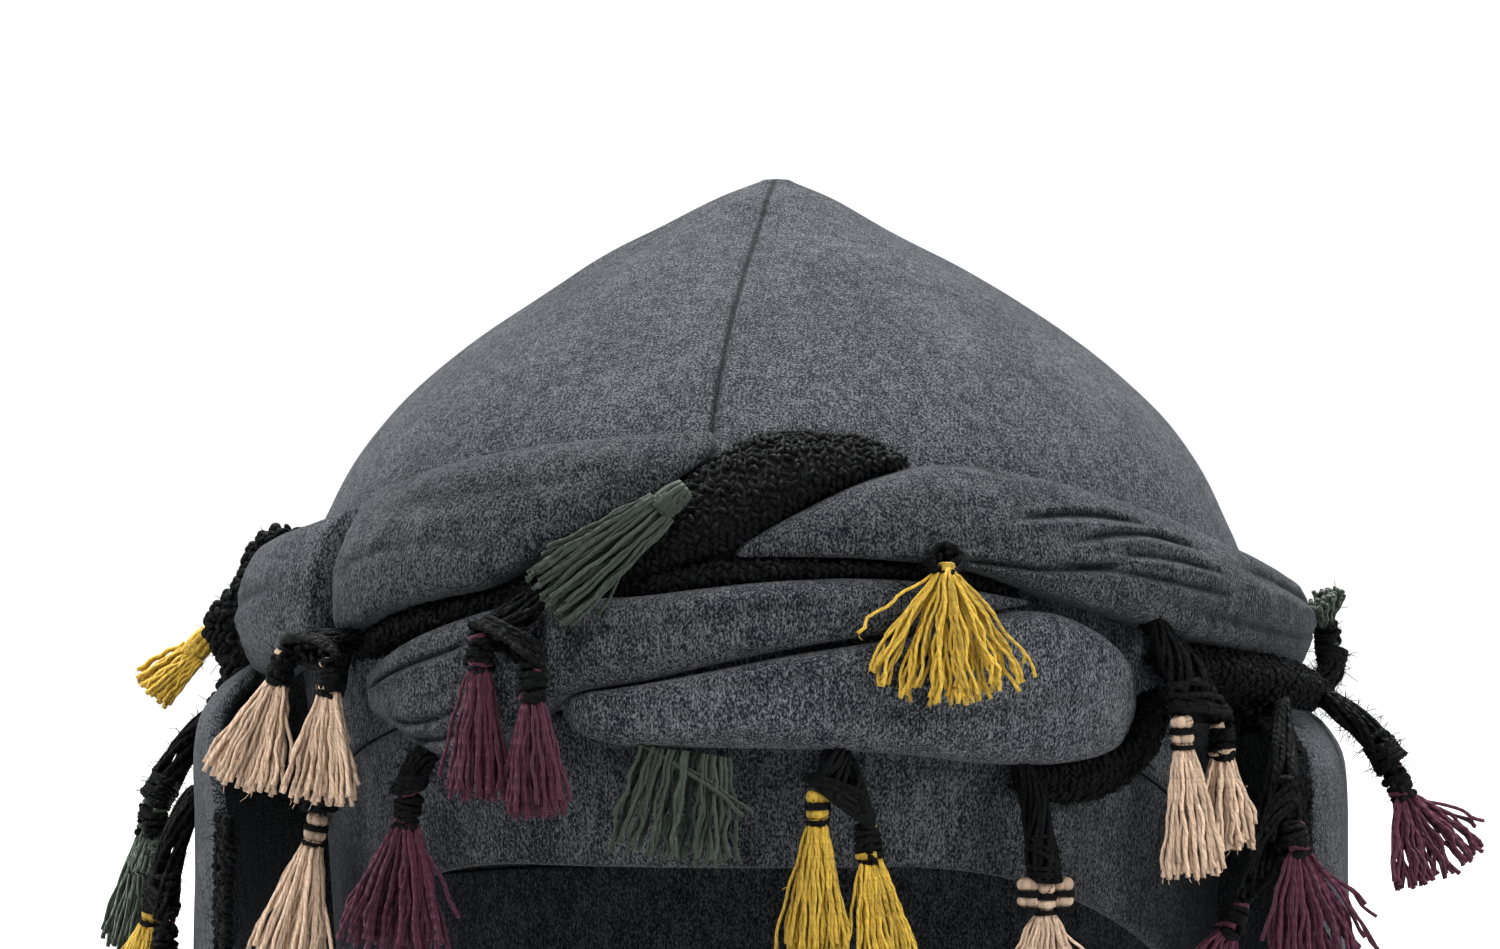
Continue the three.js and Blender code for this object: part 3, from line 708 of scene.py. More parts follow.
def finish_piece(bm, name, materials, node, modifiers=()):
    """Turns a bmesh into a piece that stands for a node and rides on the body, with its materials and
    modifiers
    """
    bmesh.ops.recalc_face_normals(bm, faces=bm.faces)
    mesh = bpy.data.meshes.new(name)
    bm.to_mesh(mesh)
    bm.free()
    for material in materials:
        mesh.materials.append(material)
    piece = bpy.data.objects.new(name, mesh)
    bpy.context.scene.collection.objects.link(piece)
    for kind, settings in modifiers:
        modifier = piece.modifiers.new(kind.title(), kind)
        for key, value in settings.items():
            setattr(modifier, key, value)
    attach(piece, BODY)
    if node:
        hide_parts(node)
    return piece


def tube(bm, centres, radii, sides, material=0, shade=0.5):
    """A closed tube round a row of points, with its ends shut"""
    stations = [centres[0], *centres, centres[-1]]
    widths = [0, *radii, 0]
    last = len(stations) - 1
    reach = [0.0]
    for before, after in zip(stations, stations[1:]):
        reach.append(reach[-1] + (after - before).length)
    frames = []
    side = None
    for i in range(len(stations)):
        ahead, behind = stations[min(i + 2, last)], stations[max(i - 2, 0)]
        tangent = (ahead - behind).normalized()
        guide = side or tangent.orthogonal()
        side = (guide - tangent * guide.dot(tangent)).normalized()
        frames.append((side, tangent.cross(side)))
    stamp = Stamp.tube(sides, len(stations))
    ring = np.rint(stamp.points[:, 2]).astype(int)
    spots, half = np.array(stations), np.array(widths)
    right = np.array([pair[0] for pair in frames])
    up = np.array([pair[1] for pair in frames])
    across = right[ring] * stamp.points[:, :1] + up[ring] * stamp.points[:, 1:2]
    stamp.press(bm, spots[ring] + across * half[ring][:, None], material, shade, reach[-1])


def smooth_path(points, steps):
    """Points on one smooth curve through a few"""
    path = []
    for i in range(steps + 1):
        place = i / steps * (len(points) - 1)
        n = min(int(place), len(points) - 2)
        t = place - n
        p0, p1, p2, p3 = (points[min(max(n + k, 0), len(points) - 1)] for k in (-1, 0, 1, 2))
        straight = (p2 - p0) * t
        bend = (p0 * 2 - p1 * 5 + p2 * 4 - p3) * t**2
        turn_back = (p1 * 3 - p0 - p2 * 3 + p3) * t**3
        path.append((p1 * 2 + straight + bend + turn_back) * 0.5)
    return path


def knot(bm, centre, axes, sizes, material=0, shade=0.5, fine=2):
    """A small round stitch with its three half sizes along three right-handed axes"""
    stamp = Stamp.ball(fine)
    turn = np.array([axis * size for axis, size in zip(axes, sizes)])
    stamp.press(bm, stamp.points @ turn + np.array(centre), material, shade)


def slanted_knot(bm, centre, dice, radius, low, high, material=0):
    """A knot that lies any way, with half sizes from low to high times a radius"""
    slant = Euler((dice.uniform(-1, 1), dice.uniform(-1, 1), dice.uniform(-1, 1))).to_matrix()
    sizes = [radius * dice.uniform(low, high) for _ in range(3)]
    knot(bm, centre, [slant.col[k] for k in range(3)], sizes, material, dice.random())


def loop_round(bm, place, level, tilt, turns, radius, material=0, shade=0.5, phase=0.0):
    """Yarn wound round place(turn, level) for a number of turns, tilted by a share of the level"""
    steps = max(round(LOOP_STEPS * turns), 6)
    centres = []
    for i in range(steps + 1):
        turn = phase + i / steps * turns * math.tau
        centres.append(place(turn, level + tilt * math.sin(turn + 2 * phase)))
    tube(bm, centres, [radius] * len(centres), YARN_SIDES, material, shade)


def fuzz(bm, spots, reach, dice, material=0):
    """Fine fibres that stand off a yarn's surface, each bent its own way"""
    for point, normal in spots:
        stray = Vector((dice.uniform(-1, 1), dice.uniform(-1, 1), dice.uniform(-1, 1)))
        curl = Vector((dice.uniform(-1, 1), dice.uniform(-1, 1), dice.uniform(-1, 0.4)))
        run = reach * dice.uniform(0.5, 1.3)
        middle = point + (normal + stray * 0.7) * run * 0.45
        tip = middle + (normal * 0.3 + stray * 0.5 + curl * 0.6) * run * 0.5
        tube(bm, [point, middle, tip], [FIBRE, FIBRE, FIBRE * 0.6], 3, material, 0.8)


def ripple(point, size, seed):
    """A soft, smooth unevenness of a cloth, from -1 to 1"""
    return noise.noise(point / size + Vector((seed, seed * 1.7, 0)))


# Materials


WALE = 0.85 * MM  # the width of a knitted column
COURSE = 0.72 * MM  # the height of a knitted row
YARN_PLY = 1.7 * MM  # a turn of the tassels' yarn
CROCHET_PLY = 1.6 * MM

# How many spots of each kind of fibre stand in a metre, along X, Y and Z
WOOL_FIBRE = (3300, 3300, 1700)
WOOL_SPECK = (2300, 2300, 1100)
WOOL_SLUB = (480, 480, 160)
WOOL_CLOUD = (60, 60, 45)
STRAND_FIBRE = (6.0, 2600.0)  # round a strand, and in a metre of it
COTTON_FIBRE = 3800.0
COTTON_STRAND = 1500.0

# The bumps' strength and distance
JERSEY_BUMP = (0.55, 0.25 * MM)
YARN_BUMP = (0.6, 0.2 * MM)
CROCHET_BUMP = (0.9, 0.3 * MM)


def node_group(name, inputs, outputs):
    group = bpy.data.node_groups.new(name, "ShaderNodeTree")
    for label, kind, default in inputs:
        socket = group.interface.new_socket(label, in_out="INPUT", socket_type=kind)
        if default is not None:
            socket.default_value = default
    for label, kind in outputs:
        group.interface.new_socket(label, in_out="OUTPUT", socket_type=kind)
    return group, group.nodes.new("NodeGroupInput"), group.nodes.new("NodeGroupOutput")


class Wires:
    """Nodes of one tree, made and joined in one call each"""

    def __init__(self, tree):
        self.tree = tree

    def put(self, node, socket, value):
        if isinstance(value, bpy.types.NodeSocket):
            self.tree.links.new(value, node.inputs[socket])
        else:
            node.inputs[socket].default_value = value

    def node(self, kind, settings=None, **inputs):
        node = self.tree.nodes.new(kind)
        for key, value in (settings or {}).items():
            setattr(node, key, value)
        for socket, value in inputs.items():
            self.put(node, socket.replace("_", " "), value)
        return node

    def math(self, operation, *values):
        node = self.tree.nodes.new("ShaderNodeMath")
        node.operation = operation
        for i, value in enumerate(values):
            self.put(node, i, value)
        return node.outputs[0]

    def noise(self, vector, scale, detail=2.0, rough=0.5):
        node = self.node("ShaderNodeTexNoise", Vector=vector, Scale=scale, Detail=detail, Roughness=rough)
        return node.outputs["Fac"]

    def stretched(self, vector, x, y, z=1.0):
        node = self.node("ShaderNodeVectorMath", {"operation": "MULTIPLY"})
        self.put(node, 0, vector)
        node.inputs[1].default_value = (x, y, z)
        return node.outputs[0]

    def fade(self, value, low, high, start=0.0, end=1.0):
        node = self.node("ShaderNodeMapRange", {"interpolation_type": "SMOOTHSTEP"}, Value=value)
        for socket, number in (("From Min", low), ("From Max", high), ("To Min", start), ("To Max", end)):
            self.put(node, socket, number)
        return node.outputs[0]

    def blend(self, share, first, second, kind="MIX"):
        node = self.node("ShaderNodeMix", {"data_type": "RGBA", "blend_type": kind})
        self.put(node, 0, share)
        self.put(node, 6, first)
        self.put(node, 7, second)
        return node.outputs[2]

    def tinted(self, base, level):
        """A colour times a grey level"""
        tint = self.node("ShaderNodeCombineXYZ", X=level, Y=level, Z=level)
        return self.blend(1.0, base, tint.outputs[0], "MULTIPLY")

    def plies(self, strand, pitch):
        """From 0 between a yarn's two plies to 1 on them, from a map round and along it"""
        parts = self.node("ShaderNodeSeparateXYZ", Vector=strand)
        around = self.math("MULTIPLY", parts.outputs[0], 2.0)
        turn = self.math("ADD", around, self.math("DIVIDE", parts.outputs[1], pitch))
        return self.math("ABSOLUTE", self.math("SINE", self.math("MULTIPLY", turn, math.pi)))

    def cloth_map(self):
        return self.node("ShaderNodeUVMap", {"uv_map": UV_MAP}).outputs[0]

    # Reads the shade attribute: random tone on yarns and crochet, painted shade and light on the jersey
    def tone_and_painted_shade(self):
        return self.node("ShaderNodeAttribute", {"attribute_name": SHADE}).outputs["Fac"]

    def place(self):
        return self.node("ShaderNodeTexCoord").outputs["Object"]

    def bump(self, shader, height, strength, distance):
        """Raises a shader's surface by a height"""
        bump = self.node("ShaderNodeBump", Strength=strength, Distance=distance, Height=height)
        self.put(shader, "Normal", bump.outputs[0])


def heather_group():
    """Melange fibres that follow the cloth's place, and knitted stitches from its flat map in metres, with
    painted shade in the stitches' grooves and painted shade and light from its Shade input
    """
    group, enter, leave = node_group(
        "Heather knit",
        [
            ("Flat", "NodeSocketVector", None),
            ("Place", "NodeSocketVector", None),
            ("Dark", "NodeSocketColor", None),
            ("Light", "NodeSocketColor", None),
            ("Grain", "NodeSocketFloat", 1.0),
            ("Shade", "NodeSocketFloat", 0.5),
        ],
        [("Color", "NodeSocketColor"), ("Height", "NodeSocketFloat")],
    )
    w = Wires(group)
    flat = enter.outputs["Flat"]
    place = enter.outputs["Place"]
    fibre = w.noise(w.stretched(place, *WOOL_FIBRE), enter.outputs["Grain"], 2.0, 0.7)
    speck = w.noise(w.stretched(place, *WOOL_SPECK), enter.outputs["Grain"], 1.0)
    slub = w.noise(w.stretched(place, *WOOL_SLUB), enter.outputs["Grain"], 2.0)
    cloud = w.noise(w.stretched(place, *WOOL_CLOUD), 1.0, 2.0)
    share = w.math("ADD", w.math("MULTIPLY", fibre, 0.95), w.math("MULTIPLY", slub, 0.22))
    share = w.math("ADD", share, w.math("MULTIPLY", cloud, 0.12))
    share = w.fade(share, 0.54, 0.86)
    base = w.blend(share, enter.outputs["Dark"], enter.outputs["Light"])
    pale = w.fade(speck, 0.58, 0.7, 0.0, 0.75)
    base = w.blend(pale, base, enter.outputs["Light"])
    deep = w.fade(speck, 0.42, 0.3, 0.0, 0.75)
    base = w.blend(deep, base, enter.outputs["Dark"])
    parts = w.node("ShaderNodeSeparateXYZ", Vector=flat)
    wale = w.math("FRACT", w.math("DIVIDE", parts.outputs[0], WALE))
    edge = w.math("MULTIPLY", w.math("ABSOLUTE", w.math("SUBTRACT", wale, 0.5)), 2.0)
    course = w.math("ADD", w.math("DIVIDE", parts.outputs[1], COURSE), w.math("MULTIPLY", edge, 0.6))
    stitch = w.math("SINE", w.math("MULTIPLY", course, math.tau))
    column = w.math("SUBTRACT", 1.0, w.math("POWER", edge, 3.0))
    height = w.math("ADD", w.math("MULTIPLY", column, 0.6), w.math("MULTIPLY", stitch, 0.2))
    height = w.math("ADD", height, w.math("MULTIPLY", fibre, 0.9))
    # Painted shade in the grooves between the knitted columns and rows, a little lighter on their tops
    base = w.tinted(base, w.fade(height, 0.2, 1.1, 0.72, 1.12))
    # Painted shade and light from the piece's shade attribute: darker below 0.5, lighter above
    base = w.tinted(base, w.fade(enter.outputs["Shade"], 0.0, 1.0, 0.2, 1.8))
    w.put(leave, "Color", base)
    w.put(leave, "Height", height)
    return group


def twist_group():
    """Plied yarn, from a map round and along a strand, with each strand's own shade"""
    group, enter, leave = node_group(
        "Plied yarn",
        [
            ("Strand", "NodeSocketVector", None),
            ("Shade", "NodeSocketFloat", 0.5),
            ("Colour", "NodeSocketColor", None),
            ("Pitch", "NodeSocketFloat", YARN_PLY),
        ],
        [("Color", "NodeSocketColor"), ("Height", "NodeSocketFloat")],
    )
    w = Wires(group)
    ply = w.plies(enter.outputs["Strand"], enter.outputs["Pitch"])
    lint = w.noise(w.stretched(enter.outputs["Strand"], *STRAND_FIBRE), 1.0, 2.0, 0.6)
    height = w.math("ADD", ply, w.math("MULTIPLY", lint, 0.5))
    # Painted shade: darker down between the two plies
    depth = w.fade(ply, 0.0, 0.8, 0.74, 1.0)
    own = w.fade(enter.outputs["Shade"], 0.0, 1.0, 0.7, 1.2)
    fibre = w.fade(lint, 0.3, 0.75, 0.82, 1.18)
    level = w.math("MULTIPLY", w.math("MULTIPLY", depth, own), fibre)
    w.put(leave, "Color", w.tinted(enter.outputs["Colour"], level))
    w.put(leave, "Height", height)
    return group


def shared(name, make):
    return bpy.data.node_groups.get(name) or make()


def new_material(name, roughness, sheen, sheen_tint, specular):
    """A material with its even values set on the shader itself"""
    material = bpy.data.materials.new(name)
    material.use_nodes = True
    shader = material.node_tree.nodes["Principled BSDF"]
    shader.inputs["Roughness"].default_value = roughness
    shader.inputs["Specular IOR Level"].default_value = specular
    shader.inputs["Sheen Weight"].default_value = sheen
    shader.inputs["Sheen Roughness"].default_value = 0.45
    shader.inputs["Sheen Tint"].default_value = sheen_tint
    return material, shader, Wires(material.node_tree)


def jersey_material(colours):
    """Grey heather jersey of the crown, band, folds and drape"""
    found = bpy.data.materials.get("Grey heather jersey")
    if found:
        return found
    material, shader, w = new_material("Grey heather jersey", 0.95, 0.07, (0.75, 0.8, 0.85, 1), 0.08)
    cloth = w.node("ShaderNodeGroup", {"node_tree": shared("Heather knit", heather_group)})
    w.put(cloth, "Flat", w.cloth_map())
    w.put(cloth, "Place", w.place())
    w.put(cloth, "Shade", w.tone_and_painted_shade())
    w.put(cloth, "Dark", colours.jersey_dark)
    w.put(cloth, "Light", colours.jersey_light)
    w.put(shader, "Base Color", cloth.outputs["Color"])
    w.bump(shader, cloth.outputs["Height"], *JERSEY_BUMP)
    return material


def yarn_material(name, colour_value):
    """Plied wool yarn of a tassel, with a sheen of its own colour"""
    label = f"{name} yarn"
    found = bpy.data.materials.get(label)
    if found:
        return found
    tint = tuple(min(1, 0.35 + 0.65 * c / max(colour_value[:3])) for c in colour_value[:3])
    material, shader, w = new_material(label, 0.7, 0.25, (*tint, 1), 0.3)
    yarn = w.node("ShaderNodeGroup", {"node_tree": shared("Plied yarn", twist_group)})
    w.put(yarn, "Strand", w.cloth_map())
    w.put(yarn, "Shade", w.tone_and_painted_shade())
    w.put(yarn, "Colour", colour_value)
    w.put(shader, "Base Color", yarn.outputs["Color"])
    w.bump(shader, yarn.outputs["Height"], *YARN_BUMP)
    return material


def crochet_material(colours):
    """Black cotton yarn of the trim and stems, with fine fibres and a slight gloss on each stitch"""
    found = bpy.data.materials.get("Black crochet")
    if found:
        return found
    material, shader, w = new_material("Black crochet", 0.7, 0.01, (0.5, 0.52, 0.55, 1), 0.1)
    place = w.place()
    fibre = w.noise(place, COTTON_FIBRE, 2.0, 0.6)
    strand = w.noise(w.stretched(place, 1.0, 1.0, 0.3), COTTON_STRAND, 1.0)
    own = w.fade(w.tone_and_painted_shade(), 0.0, 1.0, 0.7, 1.5)
    level = w.math("MULTIPLY", w.fade(fibre, 0.3, 0.75, 0.5, 1.9), own)
    w.put(shader, "Base Color", w.tinted(colours.black, level))
    w.put(shader, "Roughness", w.fade(strand, 0.3, 0.7, 0.5, 0.85))
    height = w.math("ADD", w.math("ADD", fibre, strand), w.plies(w.cloth_map(), CROCHET_PLY))
    w.bump(shader, height, *CROCHET_BUMP)
    return material


# Pieces


def cap_and_colours(context):
    return Cap(context.scene.cap_sizes), context.scene.cap_colours


class CAP_OT_crown(Operator):
    """Sew the peaked crown, with its centre seam and slack places"""

    bl_idname = "cap.crown"
    bl_label = "Crown"

    columns: IntProperty(name="Columns", description="Faces round the crown", default=240)
    rows: IntProperty(name="Rows", description="Faces up the crown", default=64)
    crowding: FloatProperty(name="Crowding", description="How close they stand at the seam", default=0.43)

    def execute(self, context):
        cap, colours = cap_and_colours(context)

        def spot(across, up):
            plain = (across * 2 - 1) * math.pi
            angle = math.degrees(plain - self.crowding * math.sin(2 * plain))
            foot = cap.band_top(angle) + cap.gap
            height = mix(foot, cap.crown_height, 1 - (1 - up) ** 1.5)
            return angle, height, foot, abs(math.sin(math.radians(angle))) * cap.radius(angle, height)

        def place(across, up):
            angle, height, foot, aside = spot(across, up)
            off = cap.dents(angle, height) * smooth_step(height, foot, foot + 6 * MM)
            off -= SEAM_DEPTH * math.exp(-((aside / SEAM_WIDTH) ** 2))
            off += 0.4 * SEAM_DEPTH * math.exp(-(((aside - 2.6 * SEAM_WIDTH) / (1.2 * SEAM_WIDTH)) ** 2))
            pucker = noise.noise(Vector((0, math.copysign(9, angle), height / (2.6 * MM))))
            off += 0.2 * MM * pucker * math.exp(-((aside / (5 * MM)) ** 2)) * min(aside / SEAM_WIDTH, 1)
            point = cap.on_hat(angle, height, 0)
            off += 0.4 * MM * ripple(point, 24 * MM, 3) + 0.15 * MM * ripple(point, 9 * MM, 5)
            radius = max(cap.radius(angle, height) + off, 0) * (1 if up < 1 else 0)
            return outwards(angle) * radius + Vector((0, 0, height))

        # Painted shade in the seam's groove: a thin dark line along the centre seam
        def shade(across, up):
            aside = spot(across, up)[3]
            return 0.5 - 0.45 * math.exp(-((aside / (0.5 * MM)) ** 2)) * (1 if up < 1 else 0)

        bm = bmesh.new()
        bent_grid(bm, self.columns, self.rows, place, (1, 1), True, shade=shade)
        self.lay_flat(bm)
        wall = {"thickness": cap.cloth, "offset": -1, "use_even_offset": False}
        jersey = jersey_material(colours)
        finish_piece(bm, "crown_jersey", [jersey], "crown", [("SOLIDIFY", wall)])
        return {"FINISHED"}

    def lay_flat(self, bm):
        """Maps each half of the crown as a panel whose wales run along the seam"""
        uv = bm.loops.layers.uv[UV_MAP]
        for face in bm.faces:
            side = math.copysign(1, face.calc_center_median().x)
            for loop in face.loops:
                point = loop.vert.co
                reach = math.hypot(point.x, point.y)
                turn = math.atan2(abs(point.x), -point.y)
                loop[uv].uv = (side * (turn * reach + 1), point.z - COURSE_SLOPE * reach + 1)


class CAP_OT_brow_band(Operator):
    """Knit the doubled brow band, with a rolled hem at its rim"""

    bl_idname = "cap.brow_band"
    bl_label = "Brow band"

    columns: IntProperty(name="Columns", description="Faces round the head", default=320)
    around: IntProperty(name="Around", description="Faces round the band's section", default=44)

    def execute(self, context):
        cap, colours = cap_and_colours(context)
        half = cap.band_cloth / 2
        hem = 5 * MM

        def place(section, share):
            angle = (share * 2 - 1) * TURN / 2
            turn = section * math.tau
            low, high = cap.rim_at(angle), cap.band_top(angle)
            height = mix(low, high, (1 - math.cos(turn)) / 2)
            rounded = math.copysign(min(abs(math.sin(turn)) * 3.2, 1) ** 0.5, math.sin(turn))
            stitch = 0.3 * MM * math.exp(-(((height - low - hem) / (0.5 * MM)) ** 2))
            lift = -half + rounded * (half - stitch)
            point = cap.on_hat(angle, height, 0)
            wave = 0.25 * MM * ripple(point, 18 * MM, 8) * (1 if rounded > 0 else 0.4)
            return cap.on_hat(angle, height, lift - 0.05 * MM + wave * min(1, (high - height) / (4 * MM)))

        def flat(section, share):
            return share * (math.tau * cap.half_width), section * (2 * cap.band_height)

        bm = bmesh.new()
        bent_grid(bm, self.around, self.columns, place, flat, True, shade=BAND_PAINTED_SHADE)
        finish_piece(bm, "brow_band_jersey", [jersey_material(colours)], "brow_band")
        return {"FINISHED"}


def crease_depth(creases, at, up):
    """How deep the creases are at a place of a fold, with the cloth standing a little proud beside them"""
    total = 0
    for crease in creases:
        t = (at - crease.start) / (crease.end - crease.start)
        if not 0 < t < 1:
            continue
        middle = mix(crease.up_start, crease.up_end, t) + crease.arch * math.sin(t * math.pi)
        away = (up - middle) / crease.width
        fade = min(math.sin(t * math.pi) * 1.6, 1)
        valley = math.exp(-(abs(away) ** 1.2))
        swell = 0.5 * math.exp(-(((away + 2.4) / 1.5) ** 2)) + 0.25 * math.exp(-(((away - 2.6) / 1.6) ** 2))
        total += crease.depth * fade * (valley - swell)
    return total


class FoldShape:
    """The surface of a wound fold: flat on the crown, full outside, thin at its edges"""

    outer = 0.42  # half the share of its faces that lie outside, where it shows

    def __init__(self, cap, name):
        self.cap = cap
        self.name = name
        self.rows = FOLDS[name]
        self.creases = CREASES[name]
        self.seed = sum(map(ord, name)) % 17
        self.known = {}

    def ring(self, share):
        if share not in self.known:
            at = mix(self.rows[0].at, self.rows[-1].at, share)
            top, low, bulge = (along(self.rows, "at", column, at) for column in ("top", "low", "bulge"))
            self.known[share] = (at, top * self.cap.wrap_height, low * self.cap.wrap_height, bulge)
        return self.known[share]

    def turn(self, section):
        around = section if section <= 0.5 else section - 1
        if abs(around) <= self.outer:
            return around / self.outer * math.pi / 2
        back = (abs(around) - self.outer) / (0.5 - self.outer)
        return math.copysign((1 + back) * math.pi / 2, around)

    def place(self, section, share):
        cap = self.cap
        at, top, low, bulge = self.ring(share)
        turn = self.turn(section)
        up, out = math.sin(turn), math.cos(turn)
        if share in (0, 1):
            return cap.on_hat(at, (top + low) / 2, (cap.seat + cap.fold_edge) / 2)
        height = (top + low) / 2 + up * (top - low) / 2
        end_fade = min(1, min(share, 1 - share) / 0.02)
        if out <= 0:
            lift = mix(cap.seat, cap.fold_edge, (1 - min(1, -out * 4)) * 0.5)
            return cap.on_hat(at, height, lift)
        rise = max(bulge * cap.wrap_bulge - cap.fold_edge, 0)
        lift = mix((cap.seat + cap.fold_edge) / 2, cap.fold_edge, min(1, out * 4)) + rise * out**0.46
        point = cap.on_hat(at, height, lift)
        soft = 0.8 * MM * ripple(Vector((at * 0.7 * MM, 0, height * 1.4)), 9 * MM, self.seed)
        soft += 0.3 * MM * ripple(point, 5 * MM, self.seed + 4)
        soft += 0.22 * MM * ripple(Vector((at * 0.5 * MM, 0, height * 4)), 6 * MM, self.seed + 9)
        lift += soft * out * end_fade
        lift -= cap.fold_edge * crease_depth(self.creases, at, up) * min(1, out * 2.5) * end_fade
        return cap.on_hat(at, height, max(lift, cap.seat + 0.8 * MM))

    def shade(self, section, share):
        """Painted shade: darker down in a crease and where the cloth tucks under its neighbour, on the fold's
        painted light level
        """
        turn = self.turn(section)
        up, out = math.sin(turn), math.cos(turn)
        depth = crease_depth(self.creases, self.ring(share)[0], up)
        painted_level = FOLD_PAINTED_LIGHT[self.name] * (1 - min(0.85, max(depth, 0) * 2.2))
        return painted_level - 0.16 * (1 - min(1, max(out, 0) * 3))

    def flat(self, section, share):
        """How far it is along the fold and round its section, at a place of it"""
        run = self.cap.run(self.rows[0].at, self.rows[-1].at)
        around = section if section <= 0.5 else section - 1
        top, low = self.ring(share)[1:3]
        return share * run, around * (top - low) * 1.5


class CAP_OT_folds(Operator):
    """Wind the five folds of jersey round the crown, with their creases"""

    bl_idname = "cap.folds"
    bl_label = "Wound folds"

    around: IntProperty(name="Around", description="Faces round a fold's section", default=102)
    step: FloatProperty(name="Step", description="Degrees along a fold for each face", default=0.8)

    def execute(self, context):
        cap, colours = cap_and_colours(context)
        jersey = jersey_material(colours)
        for name, rows in FOLDS.items():
            steps = min(math.ceil((rows[-1].at - rows[0].at) / self.step), 300)
            bm = bmesh.new()
            shape = FoldShape(cap, name)
            bent_grid(bm, self.around, steps, shape.place, shape.flat, True, shade=shape.shade)
            piece = finish_piece(bm, f"{name}_jersey", [jersey], name)
        return {"FINISHED"}


class CAP_OT_neck_drape(Operator):
    """Hang the jersey drape round the nape, in soft folds"""

    bl_idname = "cap.neck_drape"
    bl_label = "Neck drape"

    columns: IntProperty(name="Columns", description="Faces along the hem", default=240)
    rows: IntProperty(name="Rows", description="Faces from its top to the hem", default=40)

    def execute(self, context):
        cap, colours = cap_and_colours(context)

        def place(across, down):
            at = mix(DRAPE_EDGE[0], DRAPE_EDGE[1], across)
            point = cap.on_drape(at, down, 0, 0)
            soft = 1.1 * MM * ripple(Vector((at * 1.9 * MM, 0, point.z * 0.35)), 14 * MM, 2)
            soft += 0.4 * MM * ripple(point, 10 * MM, 6)
            return cap.on_drape(at, down, 0, cap.cloth + soft * smooth_step(down, 0.1, 0.5))

        bm = bmesh.new()
        flat = (cap.run(*DRAPE_EDGE) + DRAPE_MAP[0], DRAPE_MAP[1])
        bent_grid(bm, self.columns, self.rows, place, flat)
        area = sum(face.calc_area() for face in bm.faces)
        wall = [("SOLIDIFY", {"thickness": cap.cloth, "offset": -1})]
        jersey = jersey_material(colours)
        piece = finish_piece(bm, "neck_drape_jersey", [jersey], "neck_drape", wall)
        hem_length = sum((place((i + 1) / 100, 0.5) - place(i / 100, 0.5)).length for i in range(100))
        return {"FINISHED"}


def outer_side(section):
    return math.cos(section * math.tau) > -0.25


def crochet_cover(bm, place, run, pitch, fibres, covers=None, size=1.0, seed=1, fine=2):
    """Stitches over a closed surface, and loose fibres: rows of knots that lean one way and then the other"""
    dice = random.Random(seed)
    rows = max(round(run / pitch), 2)
    nudge = 1e-3
    points = 24
    spots = []
    for row in range(rows):
        share = (row + 0.5) / rows
        rim = [place(i / points, share) for i in range(points + 1)]
        girth = sum((b - a).length for a, b in zip(rim, rim[1:]))
        stitches = max(round(girth / (pitch * 0.92)), 3)
        middle = sum(rim[:-1], Vector()) / points
        drift = dice.uniform(-0.25, 0.25)
        for i in range(stitches):
            section = (i + 0.5 * (row % 2) + drift + dice.uniform(-0.28, 0.28)) / stitches
            if covers and not covers(section):
                continue
            spread = share + dice.uniform(-0.25, 0.25) / rows
            point = place(section, spread)
            side = (place(section + nudge, spread) - place(section - nudge, spread)).normalized()
            ahead = (place(section, spread + nudge) - place(section, spread - nudge)).normalized()
            normal = side.cross(ahead).normalized()
            if normal.dot(point - middle) < 0:
                normal.negate()
            lean = (0.6 if row % 2 else -0.6) + dice.uniform(-0.45, 0.45)
            first = (side * math.cos(lean) + ahead * math.sin(lean)).normalized()
            second = normal.cross(first).normalized()
            grown = pitch * size * dice.uniform(0.75, 1.2)
            centre = point + normal * grown * dice.uniform(-0.12, 0.25)
            sizes = (grown * 0.68, grown * 0.36, grown * 0.42)
            knot(bm, centre, (first, second, normal), sizes, shade=dice.random(), fine=fine)
            spots.append((centre, normal))
    fuzz(bm, dice.sample(spots, min(fibres, len(spots))), 2.2 * MM, dice)


def trim_place(cap, rows):
    """The surface of a crochet trim between the folds"""

    def place(section, share):
        at = mix(rows[0].at, rows[-1].at, min(max(share, 0), 1))
        top, low, bulge = (along(rows, "at", column, at) for column in ("top", "low", "bulge"))
        turn = section * math.tau
        up, out = math.sin(turn), math.cos(turn)
        height = (top + low) / 2 * cap.wrap_height + up * (top - low) / 2 * cap.wrap_height
        edge = cap.fold_edge * 0.6
        if out < 0:
            return cap.on_hat(at, height, mix(edge, cap.seat, min(1, -out * 3)))
        rise = max(bulge * cap.wrap_bulge - cap.fold_edge, 0)
        lift = mix(edge, cap.fold_edge, min(1, out * 3)) + rise * out - 0.5 * MM
        return cap.on_hat(at, height, lift)

    return place


def base_tube(bm, place, around, steps, run):
    """The ground that the stitches sit on, closed at its ends"""

    def closed(section, share):
        if share in (0, 1):
            rim = [place(i / 8, share) for i in range(8)]
            return sum(rim, Vector()) / 8
        return place(section, share)

    bent_grid(bm, around, steps, closed, (0.01, run), True, 0, 0.3)


